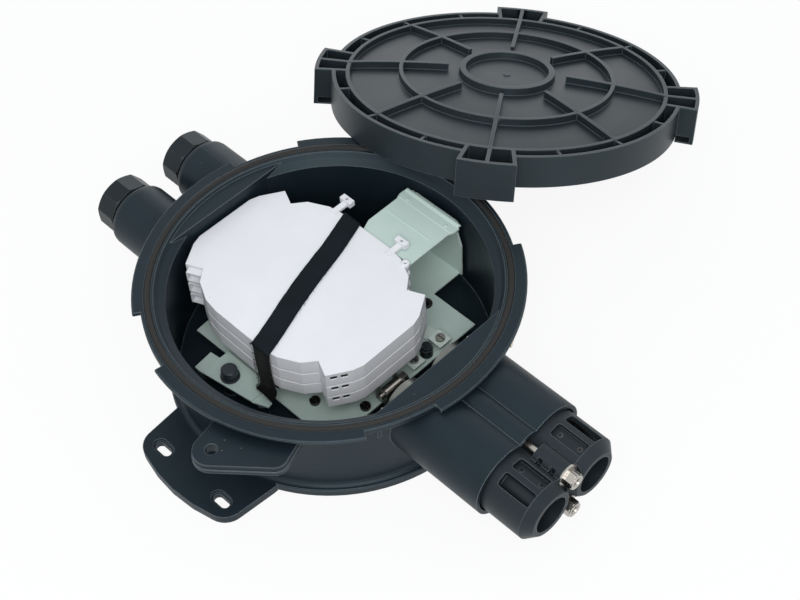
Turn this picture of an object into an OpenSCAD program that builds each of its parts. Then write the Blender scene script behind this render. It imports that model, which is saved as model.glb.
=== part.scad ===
// Round fibre splice closure: a tub with two large cable ports and two glands, a hinged stack of
// splice trays, and its bayonet lid lifted off and leaning on the rim.
// Z is the tub's axis and points up, z = 0 is the face that it rests on, +X is the side of the
// large ports, -X the side of the glands, +Y the side of the tray hinge and the lid.

/* [Tub] */
// Height of the tub from its resting face to the top of the rim
tub_h = 89.5; // [86:0.5:105]
// Outer radius of the tub's wall
wall_r = 122.5; // [121:0.5:126]
// Thickness of the wall
wall_t = 3.5; // [2.5:0.5:5]
// Thickness of the floor
floor_t = 5; // [3:0.5:6]
// Outer radius of the ring round the base
base_r = 127.9; // [126:0.1:131]
// Height of the ring round the base
base_h = 7; // [5:0.5:10]
// Outer radius of the plain rim
rim_r = 136.5; // [135.5:0.5:139]
// Thickness of the rim
rim_t = 5.5; // [5:0.5:8]
// Thickness of the rim's gasket cord
gasket_d = 4.8; // [4:0.1:5.2]

/* [Bayonet] */
// Outer radius of the four lugs on the rim
lug_r = 142.5; // [141:0.5:143.5]
// Thickness of a lug
lug_t = 3.5; // [3:0.1:3.6]
// Arc of one lug in degrees
lug_span = 68; // [55:1:70]

/* [Large ports] */
// Outer radius of a port tube
port_r = 29; // [28:0.5:30]
// Thickness of the port's wall
port_wall = 3; // [2:0.5:4]
// Distance of each port's axis from the middle plane
port_half = 22; // [21:0.5:24]
// Height of the ports' axes
port_z = 55; // [52:0.5:56]
// Distance of the ports' mouth from the tub's axis
port_end = 193; // [185:1:205]
// Radius of a cable hole in the ports
cable_r = 14.5; // [12:0.5:16]
// Height of the compression bolts above and below the ports' axes
bolt_half = 17; // [16:0.5:18]
// Radius of a compression bolt
bolt_r = 3; // [2.5:0.1:3.5]
// Length of the pressure collar outside the mouth
collar_reach = 41; // [38:0.5:46]
// Way that the collar moves inward as it is tightened
collar_travel = 6; // [3:0.5:6.5]

/* [Cable glands] */
// Outer radius of a gland tube
gland_r = 26.5; // [25.5:0.5:28]
// Distance of each gland's axis from the middle plane
gland_half = 33; // [31:0.5:35]
// Height of the glands' axes
gland_z = 44; // [40:0.5:48]
// Distance of the gland tubes' end from the tub's axis
gland_end = 189.5; // [180:0.5:200]
// Radius over the corners of a gland's cap nut
nut_r = 23; // [22:0.5:24]
// Length of a gland's cap nut
nut_len = 20; // [17:0.5:24]
// Radius of the hole through a gland's seal
gland_hole_r = 7; // [4:0.5:9]

/* [Mounting] */
// Distance between the foot's two slots
foot_slot_gap = 64; // [58:1:68]
// Overall length of a slot
slot_len = 14; // [10:0.5:16]
// Width of a slot
slot_w = 7; // [5:0.5:8]
// Thickness of the foot
foot_t = 7; // [5:0.5:8]
// Radius of the hole in the ear
ear_hole_r = 4.4; // [3:0.1:5.5]
// Thickness of the ear
ear_t = 8; // [6:0.5:10]

/* [Trays] */
// Length of a tray
tray_len = 176; // [168:1:177]
// Width of a tray
tray_w = 128; // [120:1:130]
// Height of the stack's underside
stack_z = 37.2; // [36:0.2:38]
// Height of one tray
tray_pitch = 12.25; // [11:0.25:12.5]
// Wall thickness of a tray
tray_wall = 1.6; // [1.2:0.1:2.4]
// Thickness of the stack's cover
cover_t = 2; // [1.5:0.1:3]
// Width of the strap
strap_w = 17.5; // [12:0.5:18]
// Thickness of the strap
strap_t = 1.6; // [1:0.1:2]

/* [Inside frame] */
// Thickness of the sheet metal
sheet_t = 1.5; // [1:0.1:2]
// Height of the base plate's underside
plate_z = 13; // [11:0.5:14]
// Width of the tower that carries the tray arm
tower_w = 52; // [48:1:52]
// Height of the tray arm's hinge axis
hinge_z = 70.5; // [69:0.5:72]
// Radius of the hinge pin
pin_r = 1.5; // [1.2:0.1:1.7]
// Height of the knob's bracket
knob_plate_z = 19; // [18:0.5:21]
// Radius of the knob's head
knob_r = 6.2; // [5:0.1:7]

/* [Lid] */
// Outer radius of the lid's skirt
lid_r = 140; // [139.8:0.1:141.5]
// Height of the skirt
lid_h = 25.2; // [22:0.2:30]
// Thickness of the lid's walls
lid_wall = 3; // [2:0.5:3.5]
// Height of the lid's centre above the edge of the skirt
lid_crown = 8.9; // [6:0.1:12]
// Outer radius of a tab
tab_r = 154; // [150:0.5:155]
// Arc of one tab in degrees
tab_span = 16.6; // [14:0.2:20]
// Drop of a tab below the skirt
tab_drop = 5; // [4.8:0.1:7]
// Length of lid that lies over the tub
lid_overlap = 38.8; // [30:0.2:42]
// Bearing of the lid's centre in degrees, counted from +X
lid_bearing = 101.5; // [98:0.5:106]
// Bearing towards which the lid slopes down, in degrees
lid_slope_bearing = 120.2; // [112:0.2:126]
// Turn of the lid about its own axis in degrees
lid_turn = 186; // [180:1:194]

/* [Hidden] */

$fn = 64;
// Overrun of every cut past the face that it opens
over = 1;
// Gap between loose neighbours
gap = 0.3;
// Radial clearance of a running fit
run = 0.05;
// Clearance of a rubber piece in its seat
seat = 0.1;
// Break of a moulded edge
edge = 0.8;

black = [0.10, 0.11, 0.13];
charcoal = [0.16, 0.18, 0.21];
rubber = [0.06, 0.06, 0.06];
white = [0.88, 0.88, 0.90];
sage = [0.62, 0.70, 0.62];
nickel = [0.78, 0.77, 0.75];
steel = [0.55, 0.55, 0.56];
brass = [0.70, 0.58, 0.32];

// Inside of the tub
wall_in = wall_r - wall_t;
// Gasket groove: middle radius, width and depth
groove_w = gasket_d + 2 * seat;
groove_r = 131.1;
groove_depth = 3.4;
// Mouth of the tub: radius at the top of the lip and where the bevel starts
mouth_land = 2;
mouth_r = groove_r - groove_w / 2 - mouth_land;
bevel_step = 2.5;
bevel_r = mouth_r - bevel_step;
bevel_h = 4;
// Flat inner faces behind the ports and behind the glands, and their ledge under the rim
port_flat_x = 108;
gland_flat_x = 112;
ledge_drop = 2.5;
ledge_z = tub_h - ledge_drop;
// Fillet between the base ring and the wall
base_fillet = wall_r < base_r ? (base_r - wall_r) * 0.8 : edge;
// Bearing of the first lug's middle, and of the gussets beside the ports
lug_first = 22.5;
gusset_bearing = 29;

// Ports: bore, arch over each bolt and the inner shoulder that holds the pressure plate
port_bore = port_r - port_wall;
arch_r = 11.5;
arch_bore = arch_r - port_wall;
port_lip = 4;
port_lip_step = 3;
shoulder_x = port_flat_x + port_lip;
pressure_plate_t = 3;
seal_x = shoulder_x + pressure_plate_t;
seal_len = 34;
collar_play = 2;
collar_start = seal_x + seal_len + collar_travel + collar_play;
collar_end = port_end + collar_reach;
collar_gap = 1.3;
collar_r = port_bore - collar_gap;
collar_skin = 3.4;
sleeve_t = 2.4;
collar_chamfer = 7;
// Windows of the collar's cage
window_edge = 6.5;
window_frame = 7.5;
window_start = port_end + window_edge;
window_len = collar_reach - window_edge - window_frame;
window_w = 10.4;
window_corner = 2;
window_bearings = [-7.6, 28];
// Flat block behind each window that is nearer the bolts
panel_r = 16;
panel_t = 4.4;
panel_w = 14;
// Bosses of the collar that take the bolts
boss_r = 9;
boss_inset = 10;
boss_pocket = 6.6;
// Two small notches where a boss meets a barrel
boss_notch = 4.5;
notch_shares = [0.26, 0.72];
notch_at = [-7.84, 21.4];
boss_start = port_end + boss_inset;
boss_end = collar_end - boss_pocket;
washer_t = 1.5;
washer_r = 9.2;
hex_r = 6.4;
hex_t = 6.5;
nut_neck_r = 5.7;
nut_neck_t = 1;
nut_mouth = 1.2;
bolt_sink = 2;
bolt_head_t = port_lip;
bolt_head_r = arch_bore - port_lip_step - gap;

// Glands
gland_bore = 20;
gland_plug_len = 22;
gland_flange_r = 21;
gland_flange_t = 2;
gland_round = 6;
thread_r = 18;
thread_len = 14.5;
gland_inner_r = 11;
gland_seal_t = 2.7;
nut_flats = 10;
nut_chamfer = 3;
nut_mouth_r = 10.5;
nut_start = gland_end + gland_flange_t + gap;
nut_end = nut_start + nut_len;
nut_skin = nut_end - (gland_end + gland_flange_t + thread_len + gland_seal_t + gap);

// Pressure valve on the wall
valve_bearing = 27.5;
valve_z = 63.5;
valve_r = 4;
valve_hex_r = 6.5;
valve_hex_t = 5;
valve_stem = 6;
valve_cap_r = 5;
valve_cap_t = 6;

// Foot and ear
foot_x = 6;
foot_corner_r = 16;
foot_reach = 168;
foot_bulge = 5;
foot_root_half = 52;
foot_overlap = 5;
foot_root_y = wall_r - foot_overlap;
slot_y = 149.5;
slot_recess = 1.8;
slot_recess_depth = 2.5;
ear_drop = 9.5;
ear_top = tub_h - ear_drop;
ear_hole = [44.5, -152.5];
ear_round_r = 14;
ear_tip = [80, -127];
ear_tip_r = 10;
ear_roots = [[31, -116], [76, -108]];
ear_root_r = 7.5;
ear_step = 0.8;

// Base plate: outline in shares of the tub's inner radius, hole and standoffs likewise
plate_shares = [[-0.73, -0.42], [-0.72, -0.545], [-0.46, -0.54], [-0.20, -0.56], [0.546, -0.56],
                [0.546, 0.706], [0.177, 0.706], [0.177, 0.958], [-0.252, 0.958],
                [-0.252, 0.60], [-0.46, 0.52], [-0.50, -0.42]];
plate_hole_share = [0.20, 0.61];
plate_hole_r = 4;
standoff_shares = [[0.244, -0.412], [-0.44, -0.35], [0.26, 0.35], [-0.20, 0.42], [0.50, -0.227]];
standoff_r = 5;
screw_r = 2;
screw_head_r = 4;
screw_head_t = 2.4;
screw_slot = 0.9;
plate_top = plate_z + sheet_t;

// Tower and the tray arm's hinge
tower_x = -3;
tower_inset = 4.5;
tower_y = wall_in - tower_inset;
knuckle_r = pin_r + sheet_t;
hinge_y = tower_y - knuckle_r;
barrel_half = 15;
ear_knuckle = 5.5;
tower_cut = 12;
arm_top = hinge_z + knuckle_r;
arm_w = tower_w + 2;
arm_strip = 10;
arm_strip_extra = 2;
arm_neck_step = 8;
arm_neck_w = arm_w - arm_neck_step;
rivet_r = 2.2;
rivet_t = 1;
rest_w = 20;
rest_y = -20;

// Tray stack
tray_hx = tray_len / 2;
tray_hy = tray_w / 2;
stack_at = [-21.5, -6];
trays = 3;
stack_top = stack_z + trays * tray_pitch + cover_t;
tray_floor = 1.2;
tray_foot_step = 0.6;
tray_shares = [[1, 0.39], [0.972, 0.516], [0.852, 0.781], [0.705, 0.688], [0.614, 0.844],
               [0.432, 0.969], [0.284, 1]];
tray_window = [5, 3.5];
tray_window_height = 0.78;
tray_window_shares = [0.30, 0.68];
comb_len = 34;
comb_count = 6;
comb_pitch = 4;
comb_t = 1.2;
entry_size = [12, 6, 10];
entry_skin = 1.2;
clip_w = 5;
clip_head = [11, 5, 5];
clip_reach = 13;
clip_shares = [[-0.36, 1], [0.32, 0.975]];
hinge_clip = [6, 6, 5];
leg_y = stack_at[1] + tray_hy + gap;
shelf_end_y = -40;

// Strap: where it crosses the stack's back and front edges
strap_back_x = -38;
strap_front_x = 3;
strap_back_y = leg_y;
strap_front_y = stack_at[1] - tray_hy - gap;
strap_top = stack_top + gap;
strap_low = stack_z - sheet_t - gap - strap_t;

// Knob and its bracket, in shares of the tub's inner radius
knob_at = [-30, -79];
knob_main_shares = [[-0.41, -0.765], [-0.015, -0.70], [-0.015, -0.605], [-0.03, -0.58],
                    [-0.12, -0.54], [-0.41, -0.54]];
knob_left_shares = [[-0.475, -0.765], [-0.41, -0.765], [-0.41, -0.61], [-0.49, -0.62]];
knob_right_shares = [[-0.015, -0.70], [0.092, -0.655], [0.084, -0.62], [-0.015, -0.605]];
tab_step = 0.8;
bracket_post_shares = [[-0.44, -0.69], [0.035, -0.655]];
bracket_post_r = 4;
knob_head_t = 8.5;
knob_base_r = 7.4;
knob_base_t = 1.6;
knob_neck_r = 4.6;
knob_neck_t = 1.4;
knob_stud_r = 3;
knob_boss_r = 6;

// Hardware on the base plate, places in shares of the tub's inner radius
clamp_shares = [[0.49, 0.445], [0.49, 0.21]];
clamp_size = 12;
clamp_rise = 5.5;
clamp_screw_r = 2;
clamp_head_r = 3.6;
terminal_share = [0.485, 0.325];
terminal_r = 5;
terminal_t = 7.5;
anchor_x = 62;
anchor_ears = [2.5, -15];
anchor_depth = 12;
anchor_h = 15;
anchor_bolt_h = 9.5;
anchor_bolt_z = plate_top + anchor_bolt_h;
anchor_hex_r = 5;
anchor_hex_t = 5;
anchor_barrel_r = 4.5;
anchor_shank_r = 3;

// Hose clamps and the saddles that hold them inside the ports
band_x = 99.5;
band_w = 9;
band_t = 1;
band_play = 1.5;
band_r = cable_r + band_play;
saddle_half = 6;
saddle_len = 16;
saddle_foot = 16;
saddle_z = port_z - sqrt(band_r * band_r - saddle_half * saddle_half);
housing = [band_w, 12, 8];
housing_bearing = 90;
worm_r = 2.6;
worm_hex_r = 4;
worm_hex_t = 4;

// Lid: rings, plate and the trench between the outer ring and the skirt
lid_skirt_in = lid_r - lid_wall;
ring_out_r = 129;
ring_out_in = ring_out_r - lid_wall;
ring_mid_r = 86.5;
ring_in_r = 38;
ring_in_w = 5.5;
plate_drop = 5.8;
trench_z = 1;
trench_t = 3;
rib_w = 3.2;
trench_rib_w = 2.2;
tab_wall = 3;
hook_reach = 3;
hook_t = tab_drop - lug_t - gap;
dimple_r = 3;
dimple_h = 0.8;
lid_reach = lug_r + lid_r - lid_overlap;
lid_tilt = tilt_between(5, 45, 24);
lid_foot_z = tab_r * sin(lid_tilt) + tab_drop * cos(lid_tilt);

// Plan radius of the point where the lid's edge, tilted by t, comes down to the rim's height
function lid_edge_radius(t) =
    let (low = tab_r * sin(t) + tab_drop * cos(t),
         up = min(lid_r, (tub_h + gap - low) / sin(t)),
         side = sqrt(lid_r * lid_r - up * up),
         centre = lid_reach * [cos(lid_bearing), sin(lid_bearing)],
         down = [cos(lid_slope_bearing), sin(lid_slope_bearing)],
         across = [-down[1], down[0]],
         mid = centre - down * up * cos(t))
    min(norm(mid + across * side), norm(mid - across * side));

// Tilt at which the lid rests on the lugs with its far tab on the floor
function tilt_between(low, high, steps) =
    let (mid = (low + high) / 2)
    steps == 0 ? mid
    : lid_edge_radius(mid) < lug_r ? tilt_between(mid, high, steps - 1)
    : tilt_between(low, mid, steps - 1);

// Height of the lid's domed surface over the skirt's lower edge, drop below the ribs' tops
function dome(r, drop) = lid_h + lid_crown * (1 - pow(r / ring_out_r, 2)) - drop;

// Place given in shares of the tub's inner radius
function at_share(share) = [share[0] * wall_in, share[1] * wall_in];

// Quarter of the tray's outline, drawn in by inset
function tray_quarter(inset) =
    [for (s = tray_shares) [s[0] * tray_hx - inset, s[1] * tray_hy - inset]];

// Whole outline of a tray, drawn in by inset
function tray_outline(inset) =
    let (q = tray_quarter(inset), n = len(q))
    concat([for (i = [0:n - 1]) q[i]],
           [for (i = [n - 1:-1:0]) [-q[i][0], q[i][1]]],
           [for (i = [0:n - 1]) [-q[i][0], -q[i][1]]],
           [for (i = [n - 1:-1:0]) [q[i][0], -q[i][1]]]);

// Turns local z to point along +X, from x = start on the axis at y, z
module along_x(start, y, z) {
    translate([start, y, z]) rotate([0, 90, 0]) children();
}

// Turns local z to point along -X, from x = -start on the axis at y, z
module along_minus_x(start, y, z) {
    translate([-start, y, z]) rotate([0, -90, 0]) children();
}

// Sheet of metal with the outline given in shares of the tub's inner radius
module share_sheet(shares, z) {
    translate([0, 0, z]) linear_extrude(sheet_t) polygon([for (s = shares) at_share(s)]);
}

// Round-headed screw with a slot, its head standing on z = 0
module slotted_screw(shank, head, head_t, depth) {
    difference() {
        union() {
            cylinder(r = head, h = head_t);
            translate([0, 0, -depth]) cylinder(r = shank, h = depth + head_t / 2);
        }
        translate([-head - over, -screw_slot / 2, head_t / 2])
            cube([2 * (head + over), screw_slot, head_t]);
    }
}

// Form of the two ports and the channels of their bolts, between two distances from the axis
module port_form(big, small, start, finish) {
    for (side = [-1, 1]) {
        along_x(start, side * port_half, port_z) cylinder(r = big, h = finish - start);
        along_x(start, 0, port_z + side * bolt_half) cylinder(r = small, h = finish - start);
    }
    translate([start, -small / 2, port_z - bolt_half]) cube([finish - start, small, 2 * bolt_half]);
}

// One bayonet lug on the rim
module bayonet_lug() {
    rotate([0, 0, -lug_span / 2]) rotate_extrude(angle = lug_span)
        polygon([[rim_r - 2 * edge, tub_h - lug_t], [lug_r - edge, tub_h - lug_t],
                 [lug_r, tub_h - lug_t + edge], [lug_r, tub_h - edge],
                 [lug_r - edge, tub_h], [rim_r - 2 * edge, tub_h]]);
}

// Cutter with round ends, for a slot whose ends' middles keep their distance
module slot_cut(r, depth) {
    for (end = [-1, 1]) translate([end * (slot_len - slot_w) / 2, 0, 0]) cylinder(r = r, h = depth);
    translate([-(slot_len - slot_w) / 2, -r, 0]) cube([slot_len - slot_w, 2 * r, depth]);
}

// Cutter with rounded corners for a window, its length along x
module window_cut(length, width, corner, depth) {
    translate([corner, -width / 2, 0]) cube([length - 2 * corner, width, depth]);
    translate([0, corner - width / 2, 0]) cube([length, width - 2 * corner, depth]);
    for (x = [corner, length - corner], side = [-1, 1])
        translate([x, side * (width / 2 - corner), 0]) cylinder(r = corner, h = depth);
}

// Foot plate with its rounded front
module foot_plate() {
    half = foot_slot_gap / 2 + foot_corner_r / 10;
    hull() {
        for (k = [-2:2])
            translate([foot_x + half * k / 2,
                       -foot_reach + foot_corner_r + foot_bulge * k * k / 4, 0])
                cylinder(r = foot_corner_r, h = foot_t, $fn = 32);
        translate([foot_x - foot_root_half, -foot_root_y, 0])
            cube([2 * foot_root_half, wall_t, foot_t]);
    }
}

// Ear under the rim, with a lower part that stands out by a small step
module ear_plate() {
    for (layer = [[0.4, 1, 0], [0.6, 0.6, ear_step]])
        translate([0, 0, ear_top - ear_t * layer[1]]) hull() {
            translate(ear_hole) cylinder(r = ear_round_r - layer[2], h = ear_t * layer[0], $fn = 32);
            translate(ear_tip) cylinder(r = ear_tip_r - layer[2], h = ear_t * layer[0], $fn = 32);
            for (root = ear_roots)
                translate(root) cylinder(r = ear_root_r - layer[2], h = ear_t * layer[0], $fn = 32);
        }
}

// Hollow inside of the tub, flat behind the ports and the glands
module tub_hollow() {
    difference() {
        rotate_extrude($fn = 128)
            polygon([[0, floor_t], [wall_in, floor_t], [wall_in, tub_h - 2 * bevel_h],
                     [bevel_r, tub_h - bevel_h], [mouth_r, tub_h - edge],
                     [mouth_r, tub_h + over], [0, tub_h + over]]);
        translate([port_flat_x, -rim_r, 0]) cube([rim_r, 2 * rim_r, ledge_z]);
        translate([-gland_flat_x - rim_r, -rim_r, 0]) cube([rim_r, 2 * rim_r, ledge_z]);
    }
}

// Body of the tub with its rim, ports, glands, foot and ear
module tub_shell() {
    gland_tube = gland_end - wall_in / 2;
    color(charcoal) {
        difference() {
            union() {
                rotate_extrude($fn = 128)
                    polygon(concat([[0, 0], [base_r - edge, 0], [base_r, edge],
                                    [base_r, base_h - edge], [base_r - edge, base_h]],
                                   [for (k = [0:4])
                                        [wall_r + base_fillet * (1 - sin(k * 22.5)),
                                         base_h + base_fillet * (1 - cos(k * 22.5))]],
                                   [[wall_r, tub_h - rim_t - bevel_h],
                                    [bevel_r + bevel_h / 2, tub_h - rim_t],
                                    [rim_r - edge, tub_h - rim_t], [rim_r, tub_h - rim_t + edge],
                                    [rim_r, tub_h - edge], [rim_r - edge, tub_h], [0, tub_h]]));
                for (k = [0:3]) rotate([0, 0, lug_first + 90 * k]) bayonet_lug();
                port_form(port_r, arch_r, wall_in / 2, port_end);
                for (side = [-1, 1])
                    along_minus_x(wall_in / 2, side * gland_half, gland_z)
                        rotate_extrude()
                            polygon(concat([[0, 0], [gland_r, 0]],
                                           [for (k = [0:4])
                                                [gland_r - gland_round * (1 - cos(k * 22.5)),
                                                 gland_tube - gland_round * (1 - sin(k * 22.5))]],
                                           [[0, gland_tube]]));
                foot_plate();
                ear_plate();
                // Gussets under the rim beside the ports
                for (side = [-1, 1])
                    rotate([0, 0, side * gusset_bearing])
                        translate([wall_in, -wall_t / 2, tub_h - rim_t - 3 * bevel_h])
                            cube([rim_r - wall_in - bevel_h, wall_t, 3 * bevel_h]);
                // Stop tooth under the end of a lug
                rotate([0, 0, lug_first - 90 - 0.48 * lug_span])
                    translate([lug_r - 2 * lug_t, 0, tub_h - 3.4 * lug_t])
                        cube([lug_t, lug_t, 3 * lug_t]);
            }
            tub_hollow();
            translate([0, 0, tub_h - groove_depth])
                rotate_extrude($fn = 128)
                    translate([groove_r - groove_w / 2, 0]) square([groove_w, groove_depth + over]);
            port_form(port_bore, arch_bore, shoulder_x, port_end + over);
            port_form(port_bore - port_lip_step, arch_bore - port_lip_step, wall_in / 2, shoulder_x + over);
            for (side = [-1, 1]) {
                along_minus_x(wall_in / 2, side * gland_half, gland_z)
                    cylinder(r = gland_inner_r + wall_t, h = gland_tube);
                along_minus_x(gland_end - gland_plug_len, side * gland_half, gland_z)
                    cylinder(r = gland_bore, h = gland_plug_len + over);
                // Slots in the foot, each in a wider recess
                translate([foot_x + side * foot_slot_gap / 2, -slot_y, 0]) {
                    translate([0, 0, -over]) slot_cut(slot_w / 2, foot_t + 2 * over);
                    translate([0, 0, foot_t - slot_recess_depth])
                        slot_cut(slot_w / 2 + slot_recess, slot_recess_depth + over);
                }
            }
            translate([ear_hole[0], ear_hole[1], ear_top - ear_t - over])
                cylinder(r = ear_hole_r, h = ear_t + 2 * over);
            rotate([0, 0, valve_bearing]) along_x(wall_in / 2, 0, valve_z)
                cylinder(r = valve_r + seat, h = wall_r);
        }
        // Standoffs of the base plate
        for (s = standoff_shares)
            translate([at_share(s)[0], at_share(s)[1], floor_t - edge]) difference() {
                cylinder(r = standoff_r, h = plate_z - floor_t + edge);
                translate([0, 0, edge + sheet_t]) cylinder(r = screw_r + run, h = plate_z);
            }
        // Posts and threaded boss under the knob's bracket
        for (s = bracket_post_shares)
            translate([at_share(s)[0], at_share(s)[1], floor_t - edge])
                cylinder(r = bracket_post_r, h = knob_plate_z - tab_step - floor_t + edge);
        translate([knob_at[0], knob_at[1], floor_t - edge]) difference() {
            cylinder(r = knob_boss_r, h = knob_plate_z - floor_t + edge);
            translate([0, 0, edge + sheet_t]) cylinder(r = knob_stud_r + run, h = knob_plate_z);
        }
    }
}

// Rubber cord in the rim's groove
module rim_gasket() {
    color(rubber) translate([0, 0, tub_h - groove_depth + gasket_d / 2])
        rotate_extrude($fn = 128) translate([groove_r, 0]) circle(r = gasket_d / 2, $fn = 24);
}

// Rubber block that closes round the cables in the ports
module port_seal() {
    color(rubber) difference() {
        port_form(port_bore - seat, arch_bore - seat, seal_x, seal_x + seal_len);
        for (side = [-1, 1]) {
            along_x(seal_x - over, side * port_half, port_z)
                cylinder(r = cable_r, h = seal_len + 2 * over);
            along_x(seal_x - over, 0, port_z + side * bolt_half)
                cylinder(r = bolt_r + seat, h = seal_len + 2 * over);
        }
    }
}

// Inner plate that the seal is squeezed against
module pressure_plate() {
    color(nickel) difference() {
        port_form(port_bore - seat, arch_bore - seat, shoulder_x, seal_x);
        for (side = [-1, 1]) {
            along_x(shoulder_x - over, side * port_half, port_z)
                cylinder(r = cable_r, h = pressure_plate_t + 2 * over);
            along_x(shoulder_x - over, 0, port_z + side * bolt_half)
                cylinder(r = bolt_r + seat, h = pressure_plate_t + 2 * over);
        }
    }
}

// Bolts with round heads inside the plate, running out through the collar
module compression_bolts() {
    color(nickel) for (side = [-1, 1]) {
        along_x(shoulder_x - bolt_head_t, 0, port_z + side * bolt_half)
            cylinder(r = bolt_head_r, h = bolt_head_t);
        along_x(shoulder_x - bolt_head_t, 0, port_z + side * bolt_half)
            cylinder(r = bolt_r, h = boss_end + washer_t + hex_t + nut_neck_t - bolt_sink
                                     - shoulder_x + bolt_head_t);
    }
}

// One barrel of the collar before its cable hole is cut
module collar_barrel(side) {
    hollow_r = collar_r - collar_skin;
    sleeve_r = cable_r + sleeve_t;
    difference() {
        along_x(collar_start, side * port_half, port_z)
            rotate_extrude()
                polygon([[0, 0], [collar_r, 0], [collar_r, collar_end - collar_start - collar_chamfer],
                         [collar_r - collar_chamfer, collar_end - collar_start],
                         [0, collar_end - collar_start]]);
        // Hollow between the skin and the inner sleeve
        along_x(window_start - over, side * port_half, port_z) difference() {
            cylinder(r = hollow_r, h = window_len + 2 * over);
            translate([0, 0, -over]) cylinder(r = sleeve_r, h = window_len + 4 * over);
        }
        // Windows in the skin, above and below
        for (bearing = window_bearings, face = [0, 1])
            translate([0, side * port_half, port_z]) mirror([0, 0, face])
                rotate([-side * bearing, 0, 0])
                    translate([window_start, 0, (hollow_r + sleeve_r) / 2])
                        window_cut(window_len, window_w, window_corner, collar_r);
    }
    // Blocks behind the windows nearer the bolts
    for (face = [0, 1])
        translate([0, side * port_half, port_z]) mirror([0, 0, face])
            rotate([-side * window_bearings[0], 0, 0])
                translate([window_start - edge, -panel_w / 2, panel_r])
                    cube([window_len + 2 * edge, panel_w, panel_t]);
}

// Twin collar that is pressed into the mouth of the ports
module pressure_collar() {
    color(black) difference() {
        union() {
            for (side = [-1, 1]) {
                collar_barrel(side);
                along_x(boss_start, 0, port_z + side * bolt_half)
                    cylinder(r = boss_r, h = boss_end - boss_start);
            }
        }
        // Notches in the seam of each boss
        for (side = [-1, 1], share = notch_shares)
            translate([boss_start + share * (boss_end - boss_start), side * notch_at[0],
                       port_z + side * notch_at[1]])
                cube([boss_notch, boss_notch, 2 * boss_notch], center = true);
        for (side = [-1, 1]) {
            along_x(collar_start - over, side * port_half, port_z)
                cylinder(r = cable_r, h = collar_end - collar_start + 2 * over);
            along_x(collar_start - over, 0, port_z + side * bolt_half)
                cylinder(r = bolt_r + gap, h = collar_end - collar_start + 2 * over);
            // Pocket between the barrels for the washer and the nut
            along_x(boss_end, 0, port_z + side * bolt_half)
                cylinder(r = washer_r + gap, h = collar_end - boss_end + over);
        }
    }
}

// Washers under the compression nuts
module bolt_washers() {
    color(nickel) for (side = [-1, 1])
        along_x(boss_end, 0, port_z + side * bolt_half) difference() {
            cylinder(r = washer_r, h = washer_t);
            translate([0, 0, -over]) cylinder(r = bolt_r + gap, h = washer_t + 2 * over);
        }
}

// Nut with a round neck, on the upper (1) or the lower (-1) bolt
module compression_nut(side) {
    color(nickel) along_x(boss_end + washer_t, 0, port_z + side * bolt_half) difference() {
        union() {
            cylinder(r = hex_r, h = hex_t, $fn = 6);
            cylinder(r = nut_neck_r, h = hex_t + nut_neck_t);
        }
        translate([0, 0, -over]) cylinder(r = bolt_r + run, h = hex_t + nut_neck_t + 2 * over);
        translate([0, 0, hex_t + nut_neck_t - nut_mouth])
            cylinder(r1 = bolt_r + run, r2 = bolt_r + nut_mouth, h = nut_mouth + over);
    }
}

// Threaded body of a gland, pressed into its tube
module gland_body(side) {
    color(black) along_minus_x(gland_end - gland_plug_len, side * gland_half, gland_z) difference() {
        union() {
            cylinder(r = gland_bore - seat, h = gland_plug_len);
            translate([0, 0, gland_plug_len]) cylinder(r = gland_flange_r, h = gland_flange_t);
            cylinder(r = thread_r, h = gland_plug_len + gland_flange_t + thread_len);
        }
        translate([0, 0, -over])
            cylinder(r = gland_inner_r, h = gland_plug_len + gland_flange_t + thread_len + 2 * over);
    }
}

// Rubber ring between a gland's body and its cap nut
module gland_seal(side) {
    color(rubber) along_minus_x(gland_end + gland_flange_t + thread_len, side * gland_half, gland_z)
        difference() {
            cylinder(r = thread_r - seat, h = gland_seal_t);
            translate([0, 0, -over]) cylinder(r = gland_hole_r, h = gland_seal_t + 2 * over);
        }
}

// Cap nut of a gland, with flats and a chamfered end
module gland_nut(side) {
    color(black) along_minus_x(nut_start, side * gland_half, gland_z) difference() {
        intersection() {
            cylinder(r = nut_r, h = nut_len, $fn = nut_flats);
            rotate_extrude()
                polygon([[0, 0], [nut_r - nut_chamfer / 3, 0], [nut_r, nut_chamfer / 2],
                         [nut_r, nut_len - nut_chamfer], [nut_r - 1.4 * nut_chamfer, nut_len],
                         [0, nut_len]]);
        }
        translate([0, 0, -over]) cylinder(r = thread_r + run, h = nut_len - nut_skin + over);
        cylinder(r = nut_mouth_r, h = nut_len + over);
    }
}

// Stem of the pressure valve, with a hexagon against the wall
module pressure_valve() {
    color(brass) rotate([0, 0, valve_bearing]) along_x(wall_in, 0, valve_z) {
        cylinder(r = valve_r, h = wall_t + valve_hex_t + valve_stem);
        translate([0, 0, wall_t]) cylinder(r = valve_hex_r, h = valve_hex_t, $fn = 6);
    }
}

// Cap screwed on the valve's stem
module valve_cap() {
    color(black) rotate([0, 0, valve_bearing])
        along_x(wall_r + valve_hex_t + gap, 0, valve_z) difference() {
            cylinder(r = valve_cap_r, h = valve_stem + lid_wall);
            translate([0, 0, -over]) cylinder(r = valve_r + run, h = valve_stem + over);
        }
}

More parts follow.
